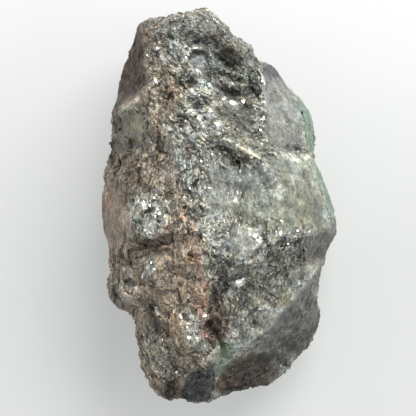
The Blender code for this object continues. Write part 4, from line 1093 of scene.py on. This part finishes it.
def inside_prism(name, points, grow=0.0):
    """How deep points are inside a crystal's prism, in metres, negative outside."""
    a, b, axes, radius = prism_axes(name)
    middle = (a + b) / 2
    half = np.linalg.norm(b - a) / 2
    local = (points - middle) @ axes
    flat = radius * math.cos(math.pi / 6)
    depth = half + grow - np.abs(local[:, 2])
    for k in range(6):
        turn = math.radians(60 * k + 30)
        depth = np.minimum(depth, flat + grow - (local[:, 0] * math.cos(turn) + local[:, 1] * math.sin(turn)))
    return depth


def crystal_piece(name, skin, seed):
    """A crystal: its prism, broken off flush with the lump."""
    a, b, axes, radius = prism_axes(name)
    shape = bmesh.new()
    bmesh.ops.create_cone(shape, cap_ends=True, segments=6, radius1=radius, radius2=radius, depth=float(np.linalg.norm(b - a)))
    mesh = bpy.data.meshes.new(name)
    shape.to_mesh(mesh)
    shape.free()
    turned = Matrix([list(r) for r in axes]).to_4x4()
    mesh.transform(Matrix.Translation(Vector((a + b) / 2)) @ turned)
    made = bpy.data.objects.new(name + "_crystal", mesh)
    bpy.context.scene.collection.objects.link(made)
    add_remesh(made, 0.0003)
    apply_all(made)
    co, no = coordinates(made.data), normals(made.data)
    set_coordinates(made.data, co + no * (0.00022 * fractal(co, 0.002, seed, 3))[:, None])
    meet = made.modifiers.new("meet", "BOOLEAN")
    meet.operation = "INTERSECT"
    meet.solver = "MANIFOLD"
    meet.object = skin
    apply_all(made)
    made.data.materials.clear()
    made.data.polygons.foreach_set("material_index", np.zeros(len(made.data.polygons), np.int32))
    co, no = coordinates(made.data), normals(made.data)
    z = zones(co, no[:, 2])
    # the plan's kinds carry over, painted light and shade among them
    for kind in ("light", "tan", "green", "blue", "brown"):
        add_attribute(made.data, kind, z[kind])
    depth = inside_prism(name, co) + 0.0003 * fractal(co, 0.0009, seed + 7, 3)
    add_attribute(made.data, "inner", smoothstep(0.0, 0.0007, depth))
    return made


def smoothed(mesh, co, times):
    """Vertex positions after averaging with their neighbours that many times."""
    edges = np.zeros(len(mesh.edges) * 2, np.int32)
    mesh.edges.foreach_get("vertices", edges)
    a, b = edges[0::2], edges[1::2]
    count = np.bincount(a, minlength=len(co)) + np.bincount(b, minlength=len(co))
    out = co.copy()
    for _ in range(times):
        new = np.zeros_like(out)
        for axis in range(3):
            new[:, axis] = np.bincount(a, out[b, axis], len(co)) + np.bincount(b, out[a, axis], len(co))
        out = 0.5 * out + 0.5 * new / np.maximum(count, 1)[:, None]
    return out


def add_attribute(mesh, name, values):
    layer = mesh.attributes.new(name, "FLOAT", "POINT")
    layer.data.foreach_set("value", np.clip(values, -4, 4).astype(np.float32))


def paint_rock(mesh):
    """Vertex attributes that the rock's material mixes by."""
    co, no = coordinates(mesh), normals(mesh)
    z = zones(co, no[:, 2])
    fine, wide = smoothed(mesh, co, 4), smoothed(mesh, co, 60)
    # edge and proud measure how far a point stands out of its smoothed surface; the material darkens hollows and
    # creases by them as painted shade and lightens proud parts as painted highlight
    add_attribute(mesh, "edge", ((co - fine) * no).sum(1) / 0.00006)
    add_attribute(mesh, "proud", ((co - wide) * no).sum(1) / 0.0004)
    add_attribute(mesh, "upper", smoothstep(0.004, 0.016, co[:, 1] + 0.35 * co[:, 0]))
    for crystal in CRYSTALS:
        close = smoothstep(-0.0016, 0.0001, inside_prism(crystal, co) + 0.0005 * fractal(co, 0.0011, 77, 3))
        z["olive" if crystal.startswith("beryl") else "green"] += (0.4 if crystal.startswith("beryl") else 0.35) * close
    for name in KINDS:
        add_attribute(mesh, name, z[name])


# ---------------------------------------------------------------- loose-edged flakes of mica


def flakes(name, mesh, count, seed):
    """Thin many-sided plates of mica half sunk in the broken surface, as one mesh."""
    rng = np.random.default_rng(seed)
    co, no = coordinates(mesh), normals(mesh)
    wide = smoothed(mesh, no, 12)
    wide /= np.linalg.norm(wide, axis=1)[:, None]
    z = zones(co, no[:, 2])
    gem = np.zeros(len(co))
    for crystal in CRYSTALS:
        gem = np.maximum(gem, smoothstep(-0.0008, -0.0001, inside_prism(crystal, co)))
    wanted = (1 - 0.93 * z["smooth"]) * (1 - gem) * (0.5 + 0.8 * z["glitter"]) * (0.35 + 0.65 * z["front"])
    wanted *= smoothstep(0.0012, 0.0022, co[:, 2])
    pick = rng.choice(len(co), size=count, replace=False, p=wanted / wanted.sum())
    sizes = 0.00021 * np.exp(rng.normal(0, 0.38, count)) * (1 + 0.35 * z["glitter"][pick])
    sizes = np.clip(sizes, 0.00012, 0.0007)
    loose = np.full((count, 1), 1.0)
    large = []
    for column, row, size, _ in GLINTS:
        near = np.nonzero((np.hypot(z["column"] - column, z["row"] - row) < 2) & (no[:, 2] > 0.2))[0]
        large.append(near[np.argmax(co[near, 2])])
    pick = np.concatenate([pick, large])
    sizes = np.concatenate([sizes, [g[2] * MM / 2 for g in GLINTS]])
    loose = np.concatenate([loose, np.full((len(large), 1), 0.15)])
    count = len(pick)
    points, outward = co[pick], wide[pick]
    up = outward + rng.normal(size=(count, 3)) * 0.26 * loose
    up[-len(large):] = 0.2 * up[-len(large):] + np.array([0.18, 0.34, 0.92])
    up /= np.linalg.norm(up, axis=1)[:, None]
    lift = np.zeros(count)
    lift[-len(large):] = sizes[-len(large):] * 0.5
    points = points + up * lift[:, None]
    upper = smoothstep(0.004, 0.016, points[:, 1] + 0.35 * points[:, 0])[:, None]
    grainwise = np.array([0.1, 1.0, 0.0]) * (1 - upper) + np.array([0.79, -0.62, 0.0]) * upper
    grainwise = grainwise + rng.normal(size=(count, 3)) * 0.5 * loose
    for n, glint in enumerate(GLINTS):
        turn = math.radians(glint[3])
        grainwise[count - len(GLINTS) + n] = (math.cos(turn), -math.sin(turn), 0)
    side = np.cross(up, grainwise)
    side /= np.linalg.norm(side, axis=1)[:, None]
    along = np.cross(side, up)
    corners = 6
    verts = np.zeros((count, 2, corners, 3))
    narrow = rng.uniform(0.45, 0.9, count)
    for k in range(corners):
        angle = 2 * math.pi * (k + rng.uniform(-0.25, 0.25, count)) / corners
        reach = sizes * rng.uniform(0.75, 1.15, count)
        ring = points + along * (np.cos(angle) * reach * 1.25)[:, None] + side * (np.sin(angle) * reach * narrow)[:, None]
        verts[:, 0, k] = ring + up * (sizes * 0.16)[:, None]
        verts[:, 1, k] = ring - up * (sizes * 0.30 + lift * 1.3)[:, None]
    flat = verts.reshape(-1, 3)
    flat[:, 2] = np.maximum(flat[:, 2], FLAT_CUT)
    faces = []
    for n in range(count):
        o = n * 2 * corners
        top = [o + k for k in range(corners)]
        under = [o + corners + k for k in reversed(range(corners))]
        for ring in (top, under):
            faces += [[ring[0], ring[1], ring[2]], [ring[0], ring[2], ring[3]], [ring[0], ring[3], ring[5]], [ring[3], ring[4], ring[5]]]
        for k in range(corners):
            m = (k + 1) % corners
            faces += [[o + k, o + corners + k, o + corners + m], [o + k, o + corners + m, o + m]]
    made = bpy.data.meshes.new(name)
    made.from_pydata(flat.tolist(), [], faces)
    made.update()
    each = np.repeat(np.arange(count), 2 * corners)
    tones = rng.uniform(0, 1, count)
    # the large flakes take the brightest tone, a painted glint
    tones[-len(large):] = 1.0
    add_attribute(made, "tone", tones[each])
    for kind in KINDS:
        values = z[kind][pick]
        # the large flakes get painted highlight: light 2, full glitter, no smoothness
        if kind in ("light", "glitter", "smooth"):
            values[-len(large):] = {"light": 2.0, "glitter": 1.0, "smooth": 0.0}[kind]
        add_attribute(made, kind, values[each])
    obj = bpy.data.objects.new(name, made)
    bpy.context.scene.collection.objects.link(obj)
    return obj


# ---------------------------------------------------------------- materials


class Nodes:
    """A short way to write a material's nodes."""

    def __init__(self, name):
        self.material = bpy.data.materials.new(name)
        self.material.use_nodes = True
        self.tree = self.material.node_tree
        self.shader = self.tree.nodes["Principled BSDF"]
        self.where = self.new("ShaderNodeTexCoord").outputs["Object"]

    def new(self, kind, **settings):
        node = self.tree.nodes.new(kind)
        for key, value in settings.items():
            setattr(node, key, value)
        return node

    def put(self, socket, value):
        if isinstance(value, bpy.types.NodeSocket):
            self.tree.links.new(value, socket)
        elif isinstance(value, tuple) and len(value) == 3 and socket.type == "RGBA":
            socket.default_value = (*value, 1)
        else:
            socket.default_value = value

    def math(self, kind, a, b=0.0, c=0.0, clamp=False):
        node = self.new("ShaderNodeMath", operation=kind, use_clamp=clamp)
        for socket, value in zip(node.inputs, (a, b, c)):
            self.put(socket, value)
        return node.outputs[0]

    def add(self, a, b):
        return self.math("ADD", a, b)

    def times(self, a, b, clamp=False):
        return self.math("MULTIPLY", a, b, clamp=clamp)

    def vector(self, kind, a, b=(0, 0, 0), scale=None):
        node = self.new("ShaderNodeVectorMath", operation=kind)
        self.put(node.inputs[0], a)
        if scale is None:
            self.put(node.inputs[1], b)
        else:
            self.put(node.inputs["Scale"], scale)
        return node.outputs[0]

    def attribute(self, name):
        return self.new("ShaderNodeAttribute", attribute_name=name).outputs["Fac"]

    def step(self, value, low, high, to_low=0.0, to_high=1.0):
        node = self.new("ShaderNodeMapRange", interpolation_type="SMOOTHSTEP")
        for key, v in (("Value", value), ("From Min", low), ("From Max", high), ("To Min", to_low), ("To Max", to_high)):
            self.put(node.inputs[key], v)
        return node.outputs["Result"]

    def mix(self, factor, a, b, blend="MIX"):
        node = self.new("ShaderNodeMix", data_type="RGBA", blend_type=blend)
        self.put(node.inputs["Factor"], factor)
        self.put(node.inputs["A"], a) if not isinstance(a, bpy.types.NodeSocket) else None
        for socket, value in zip([s for s in node.inputs if s.type == "RGBA"], (a, b)):
            self.put(socket, value)
        return [s for s in node.outputs if s.type == "RGBA"][0]

    def blend_value(self, factor, a, b):
        node = self.new("ShaderNodeMix", data_type="FLOAT")
        sockets = [s for s in node.inputs if s.type == "VALUE"]
        for socket, value in zip(sockets, (factor, a, b)):
            self.put(socket, value)
        return [s for s in node.outputs if s.type == "VALUE"][0]

    def noise(self, size, detail=3.0, rough=0.55, distort=0.0, at=None):
        node = self.new("ShaderNodeTexNoise")
        self.put(node.inputs["Vector"], at or self.where)
        node.inputs["Scale"].default_value = 1 / size
        node.inputs["Detail"].default_value = detail
        node.inputs["Roughness"].default_value = rough
        node.inputs["Distortion"].default_value = distort
        return node.outputs["Fac"]

    def cells(self, size, feature="F1", at=None):
        node = self.new("ShaderNodeTexVoronoi", feature=feature)
        self.put(node.inputs["Vector"], at or self.where)
        node.inputs["Scale"].default_value = 1 / size
        return node

    def parts(self, colour):
        node = self.new("ShaderNodeSeparateColor")
        self.put(node.inputs[0], colour)
        return node.outputs

    def ramp(self, value, stops, interpolation="LINEAR"):
        node = self.new("ShaderNodeValToRGB")
        node.color_ramp.interpolation = interpolation
        ramp = node.color_ramp
        while len(ramp.elements) < len(stops):
            ramp.elements.new(0.5)
        for element, (at, colour) in zip(ramp.elements, stops):
            element.position = at
            element.color = (*colour, 1)
        self.put(node.inputs[0], value)
        return node.outputs["Color"]

    def leaning(self, *leans):
        """The surface's own normal, leaning by each cell colour times its amount."""
        out = self.new("ShaderNodeNewGeometry").outputs["Normal"]
        for colour, amount in leans:
            centred = self.vector("SUBTRACT", colour, (0.5, 0.5, 0.5))
            scaled = self.new("ShaderNodeVectorMath", operation="SCALE")
            self.put(scaled.inputs[0], centred)
            self.put(scaled.inputs["Scale"], amount)
            out = self.vector("ADD", out, scaled.outputs[0])
        return self.vector("NORMALIZE", out)

    def set(self, **values):
        for key, value in values.items():
            self.put(self.shader.inputs[key.replace("_", " ")], value)


def self_bend(n, size, amount):
    """Object coordinates bent by smooth noise."""
    noise = n.new("ShaderNodeTexNoise")
    n.put(noise.inputs["Vector"], n.where)
    noise.inputs["Scale"].default_value = 1 / size
    noise.inputs["Detail"].default_value = 1
    centred = n.vector("SUBTRACT", noise.outputs["Color"], (0.5, 0.5, 0.5))
    return n.vector("ADD", n.where, n.vector("SCALE", centred, scale=amount))


def schist_material(flake=False):
    """Mica schist: the kind of rock painted at each point, broken up into flakes. With flake, the tone comes from the mesh."""
    n = Nodes("mica_flake" if flake else "schist")
    light, smooth, glitter, grain, wavy = (n.attribute(k) for k in ("light", "smooth", "glitter", "grain", "wavy"))
    brown, olive, blue, violet, green = (n.attribute(k) for k in ("brown", "olive", "blue", "violet", "green"))
    rust, tan = n.attribute("rust"), n.attribute("tan")
    # painted light and shade, broken up by noise
    light = n.times(light, n.step(n.noise(0.0016, 4, 0.65), 0.34, 0.66, 0.62, 1.38))
    rough_part = n.math("SUBTRACT", 1.0, n.times(smooth, 0.9), clamp=True)
    drawn = n.new("ShaderNodeMapping", vector_type="POINT")
    n.put(drawn.inputs["Vector"], self_bend(n, 0.0060, 0.0016))
    drawn.inputs["Scale"].default_value = (1.0, 0.20, 0.7)
    streak, patchy = n.noise(0.00042, 3, 0.6, at=drawn.outputs[0]), n.noise(0.0010, 4, 0.65, at=drawn.outputs[0])

    # flakes lie along the lump, and down to the right on its upper part
    bend = self_bend(n, 0.0042, 0.0026)
    laid = []
    for turn, stretch in ((0.0, (1.0, 0.36, 0.8)), (38.0, (0.36, 1.0, 0.8))):
        turned = n.new("ShaderNodeMapping", vector_type="POINT")
        n.put(turned.inputs["Vector"], bend)
        turned.inputs["Rotation"].default_value = (0, 0, math.radians(turn))
        flat = n.new("ShaderNodeMapping", vector_type="POINT")
        n.put(flat.inputs["Vector"], turned.outputs[0])
        flat.inputs["Scale"].default_value = stretch
        laid.append(flat.outputs[0])
    side = n.new("ShaderNodeMix", data_type="VECTOR")
    which = n.math("GREATER_THAN", n.add(n.attribute("upper"), n.times(n.math("SUBTRACT", n.noise(0.004, 2), 0.5), 0.8)), 0.5)
    n.put(side.inputs["Factor"], which)
    for socket, value in zip([s for s in side.inputs if s.type == "VECTOR" and s.name != "Factor"], laid):
        n.put(socket, value)
    lie = [s for s in side.outputs if s.type == "VECTOR"][0]
    big, small, tiny = n.cells(0.00060, at=lie), n.cells(0.00029, at=lie), n.cells(0.00017)
    big_c, small_c, tiny_c = big.outputs["Color"], small.outputs["Color"], tiny.outputs["Color"]
    br, sr, tr = n.parts(big_c), n.parts(small_c), n.parts(tiny_c)
    fibre = n.noise(0.00055, 2, 0.6, at=lie)
    line = n.math("ABSOLUTE", n.math("SUBTRACT", fibre, 0.5))
    thread, gap = n.step(line, 0.06, 0.0), n.step(line, 0.10, 0.24)

    # tone of each flake, from dark to pale
    blotch, cloud, mottle = n.noise(0.0030, 5, 0.6), n.noise(0.0085, 3), n.noise(0.0019, 5, 0.62)
    if flake:
        own = n.attribute("tone")
        tone = n.add(n.times(own, 0.8), 0.05)
    else:
        own = sr[2]
        tone = n.add(n.times(n.math("SUBTRACT", br[0], 0.5), 0.32), n.times(n.math("SUBTRACT", sr[0], 0.5), 0.42))
        tone = n.add(tone, n.times(n.math("SUBTRACT", tr[0], 0.5), 0.18))
        tone = n.add(n.times(tone, n.add(n.times(grain, 0.55), 1.0)), 0.37)
    tone = n.add(n.times(n.math("SUBTRACT", tone, 0.40), n.math("SUBTRACT", 1.0, n.times(smooth, 0.85))), 0.40)
    tone = n.add(tone, n.times(n.math("SUBTRACT", blotch, 0.5), n.add(n.times(rough_part, 0.5), 0.8)))
    tone = n.add(tone, n.times(n.math("SUBTRACT", mottle, 0.5), n.add(n.times(smooth, 0.55), 0.5)))
    tone = n.add(tone, n.times(n.math("SUBTRACT", n.noise(0.0006, 3, 0.6), 0.5), n.times(smooth, 0.75)))
    tone = n.add(tone, n.times(n.math("SUBTRACT", n.noise(0.0011, 4, 0.7), 0.5), n.times(smooth, 0.6)))
    tone = n.add(tone, n.times(n.math("SUBTRACT", sr[0], 0.5), n.times(smooth, 0.16)))
    threads = n.times(n.math("SUBTRACT", thread, n.times(gap, 0.8)), n.add(n.times(wavy, 0.25), n.times(rough_part, 0.16)))
    tone = n.add(tone, threads)
    tone = n.add(tone, n.times(n.math("SUBTRACT", cloud, 0.5), 0.45))
    mica = n.ramp(tone, [(0.0, (0.036, 0.036, 0.030)), (0.32, (0.128, 0.131, 0.110)), (0.6, (0.242, 0.250, 0.218)), (0.95, (0.46, 0.47, 0.43))])
    warm = n.ramp(tone, [(0.0, (0.066, 0.047, 0.032)), (0.4, (0.190, 0.144, 0.100)), (0.95, (0.40, 0.33, 0.245))])
    colour = n.mix(n.times(brown, n.step(patchy, 0.38, 0.60, 0.55, 1.10), clamp=True), mica, warm)
    hue = n.mix(br[2], (1.12, 1.0, 0.83), (0.90, 1.0, 1.11)) if flake else n.mix(sr[1], (1.13, 1.0, 0.82), (0.90, 1.0, 1.12))
    colour = n.mix(n.step(smooth, 0.0, 1.0, 1.0, 0.45), colour, n.mix(1.0, colour, hue, "MULTIPLY"))
    tint = n.mix(tr[1], (0.96, 1.06, 0.96), (1.05, 0.95, 1.05))
    colour = n.mix(1.0, colour, tint, "MULTIPLY")
    stain = n.ramp(n.noise(0.0044, 4, 0.6), [(0.3, (1.12, 1.0, 0.82)), (0.5, (1.0, 1.0, 1.0)), (0.7, (0.93, 1.0, 1.05))])
    colour = n.mix(1.0, colour, stain, "MULTIPLY")
    colour = n.mix(1.0, colour, n.mix(olive, (1.0, 1.0, 1.0), (0.985, 1.0, 0.89)), "MULTIPLY")
    colour = n.mix(1.0, colour, n.mix(blue, (1.0, 1.0, 1.0), (0.93, 0.99, 1.09)), "MULTIPLY")
    colour = n.mix(1.0, colour, n.mix(violet, (1.0, 1.0, 1.0), (1.02, 0.955, 1.06)), "MULTIPLY")
    colour = n.mix(1.0, colour, n.mix(n.times(green, n.step(blotch, 0.35, 0.6, 0.3, 1.0)), (1.0, 1.0, 1.0), (0.55, 1.05, 0.66)), "MULTIPLY")
    reds = n.ramp(mottle, [(0.3, (0.13, 0.050, 0.040)), (0.7, (0.36, 0.17, 0.13))])
    colour = n.mix(n.times(rust, n.step(streak, 0.44, 0.58, 0.12, 1.15), clamp=True), colour, reds)
    colour = n.mix(n.times(tan, n.step(blotch, 0.38, 0.6, 0.1, 0.8)), colour, n.ramp(streak, [(0.35, (0.19, 0.148, 0.112)), (0.65, (0.34, 0.273, 0.210))]))
    if flake:
        shade = n.math("POWER", 2.0, light)
    else:
        # painted shade in hollows and creases and painted highlight on proud parts and edges, then the plan's painted
        # light and shade in stops, with brown streaks
        shade = n.step(n.attribute("proud"), -1.3, 1.0, 0.70, 1.08)
        shade = n.times(shade, n.step(n.attribute("edge"), -1.5, 1.5, 0.66, 1.24))
        shade = n.times(shade, n.math("POWER", 2.0, n.add(light, n.times(n.math("SUBTRACT", streak, 0.5), n.add(n.times(brown, 3.0), 0.5)))))
    colour = n.mix(1.0, colour, n.vector("SCALE", (1.0, 1.0, 1.0), scale=shade), "MULTIPLY")

    # bright cleavage faces: silvery mica, commoner and brighter where more light is painted
    chance = n.add(n.times(own, 1.0), n.times(n.math("SUBTRACT", glitter, brown), 0.07))
    chance = n.add(chance, n.times(n.math("MINIMUM", light, 0.5), 0.05))
    glint = n.times(n.step(chance, 0.94, 0.975), rough_part)
    shine = n.mix(1.0, (0.56, 0.56, 0.53), n.vector("SCALE", (1.0, 1.0, 1.0), scale=n.math("POWER", 2.0, n.times(light, 0.7))), "MULTIPLY")
    colour = n.mix(n.times(glint, 0.9), colour, shine)
    n.set(Base_Color=colour, Metallic=n.times(glint, 0.65))
    roughness = n.add(n.step(sr[1], 0.0, 1.0, 0.32, 0.60), n.times(smooth, -0.05))
    roughness = n.add(roughness, n.step(light, -0.5, -1.8, 0.0, 0.35))
    roughness = n.add(roughness, n.times(n.times(brown, smooth), 0.16))
    roughness = n.blend_value(glint, roughness, 0.24)
    n.set(Roughness=roughness)
    if flake:
        n.set(Normal=n.leaning((tiny_c, 0.10)))
    else:
        lean_big, lean_small = n.times(rough_part, 0.34), n.times(rough_part, 0.58)
        lean_tiny = n.add(n.times(rough_part, 0.22), 0.11)
        n.set(Normal=n.leaning((big_c, lean_big), (small_c, lean_small), (tiny_c, lean_tiny)))
    n.shader.inputs["IOR"].default_value = 1.6
    n.shader.inputs["Specular IOR Level"].default_value = 0.55
    return n.material


def crystal_material(name):
    n = Nodes(name + "_stone")
    cells = n.cells(0.0006)
    along = n.new("ShaderNodeMapping", vector_type="POINT")
    n.put(along.inputs["Vector"], n.where)
    along.inputs["Scale"].default_value = (1.0, 0.35, 0.6)
    streaks, cloud = n.noise(0.0009, 3, 0.6, at=along.outputs[0]), n.noise(0.0030, 4, 0.6)
    blotch = n.add(n.times(streaks, 1.1), n.times(cloud, 1.2))
    blotch = n.add(n.add(blotch, n.times(n.noise(0.00035, 2, 0.6), 0.5)), -0.90)
    if name.startswith("beryl"):
        stops = [(0.25, (0.12, 0.11, 0.07)), (0.6, (0.25, 0.24, 0.165)), (0.85, (0.34, 0.37, 0.26))]
    elif name == "emerald_right_rim":
        stops = [(0.15, (0.06, 0.14, 0.075)), (0.55, (0.14, 0.26, 0.165)), (0.9, (0.31, 0.40, 0.32))]
    elif name == "emerald_lower":
        stops = [(0.25, (0.07, 0.10, 0.06)), (0.5, (0.14, 0.18, 0.115)), (0.8, (0.26, 0.29, 0.22))]
    else:
        stops = [(0.1, (0.09, 0.165, 0.11)), (0.5, (0.195, 0.285, 0.215)), (0.9, (0.38, 0.44, 0.385))]
    colour = n.ramp(blotch, stops)
    light, inner = n.attribute("light"), n.attribute("inner")
    tints = (("tan", (1.10, 0.97, 0.70)), ("green", (0.84, 1.10, 0.86)), ("blue", (0.90, 0.99, 1.20)), ("brown", (1.16, 0.94, 0.74)))
    for kind, tint in tints:
        colour = n.mix(1.0, colour, n.mix(n.attribute(kind), (1.0, 1.0, 1.0), tint), "MULTIPLY")
    film = n.ramp(n.noise(0.0005, 3, 0.6), [(0.35, (0.11, 0.105, 0.085)), (0.65, (0.34, 0.335, 0.30))])
    colour = n.mix(inner, n.mix(0.7, colour, film), colour)
    vein = n.math("ABSOLUTE", n.math("SUBTRACT", n.noise(0.0016, 3, 0.55), 0.5))
    colour = n.mix(n.times(n.step(vein, 0.03, 0.0), 0.45), colour, (0.50, 0.54, 0.48))
    # painted light and shade carried over from the plan
    colour = n.vector("SCALE", colour, scale=n.math("POWER", 2.0, n.times(light, 0.6)))
    n.set(Base_Color=colour, Roughness=n.step(n.parts(cells.outputs["Color"])[0], 0, 1, 0.18, 0.42))
    n.set(Normal=n.leaning((cells.outputs["Color"], 0.22)))
    n.shader.inputs["IOR"].default_value = 1.58
    n.shader.inputs["Transmission Weight"].default_value = 0.35
    return n.material


def floor_material():
    n = Nodes("pale_floor")
    paper = n.noise(0.02, 3)
    colour = n.mix(paper, (0.33, 0.335, 0.333), (0.35, 0.355, 0.353))
    n.set(Base_Color=colour, Roughness=0.95)
    # the floor glows, more towards +Y: painted light that lifts its far side and washes out the cast shadow
    parts = n.new("ShaderNodeSeparateXYZ")
    n.put(parts.inputs[0], n.where)
    lift = n.step(parts.outputs["Y"], -0.02, 0.06, 0.0, 1.0)
    glow = n.mix(lift, (0.93, 0.96, 0.93), (1.35, 1.36, 1.36))
    n.set(Emission_Color=glow)
    n.shader.inputs["Emission Strength"].default_value = 0.36
    n.shader.inputs["Specular IOR Level"].default_value = 0.1
    return n.material


# ---------------------------------------------------------------- floor, lights and camera


def make_stage():
    scene = bpy.context.scene
    bpy.ops.mesh.primitive_plane_add(size=6)
    floor = bpy.context.object
    floor.name = "floor"
    floor.data.materials.append(floor_material())

    def area(name, at, aim, size, power, colour=(1, 1, 1)):
        data = bpy.data.lights.new(name, "AREA")
        data.shape = "RECTANGLE"
        data.size, data.size_y = size
        data.energy = power
        data.color = colour
        lamp = bpy.data.objects.new(name, data)
        scene.collection.objects.link(lamp)
        lamp.location = at
        lamp.rotation_euler = (Vector(aim) - Vector(at)).to_track_quat("-Z", "Y").to_euler()

    area("key", (0.24, 0.46, 0.50), (0, 0, 0.02), (0.50, 0.32), 6.0, (1.0, 0.99, 0.97))
    area("fill_left", (-0.60, 0.05, 0.40), (0, 0, 0.02), (0.5, 0.5), 0.5)
    area("fill_right", (0.60, -0.05, 0.40), (0, 0, 0.02), (0.5, 0.5), 1.4)

    scene.view_settings.view_transform = "Standard"
    world = bpy.data.worlds.new("studio")
    scene.world = world
    world.use_nodes = True
    back = world.node_tree.nodes["Background"]
    back.inputs["Color"].default_value = (0.95, 0.97, 1.0, 1)
    back.inputs["Strength"].default_value = 0.55

    data = bpy.data.cameras.new("camera")
    data.sensor_width = 36
    data.lens = 36 * EYE / (416 * PLAN)
    data.clip_start, data.clip_end = 0.01, 20
    camera = bpy.data.objects.new("camera", data)
    scene.collection.objects.link(camera)
    camera.location = (0, 0, EYE + PLAN_LEVEL - FLAT_CUT)
    camera.rotation_euler = (0, 0, 0)
    scene.camera = camera


# ---------------------------------------------------------------- put together


def main():
    rock, skin = lump_mesh()
    rock.name = "schist_lump"
    rock.data.name = "schist_lump"
    thin_rock(rock, 196000)
    paint_rock(rock.data)
    rock.data.materials.append(schist_material())
    loose = flakes("mica_flakes", skin.data, 9500, 77)
    loose.data.materials.append(schist_material(flake=True))
    stones = []
    for n, name in enumerate(CRYSTALS):
        stone = crystal_piece(name, skin, 500 + 10 * n)
        stone.data.materials.append(crystal_material(name))
        stones.append((stone, name))
    bpy.data.objects.remove(skin)
    drop = Matrix.Translation((0, 0, -FLAT_CUT))
    for piece in (rock, loose):
        piece.data.transform(drop)
        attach(piece, "root")
    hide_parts("schist_matrix")
    for stone, name in stones:
        stone.data.transform(drop)
        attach(stone, "root")
        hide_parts(name)
    make_stage()


main()
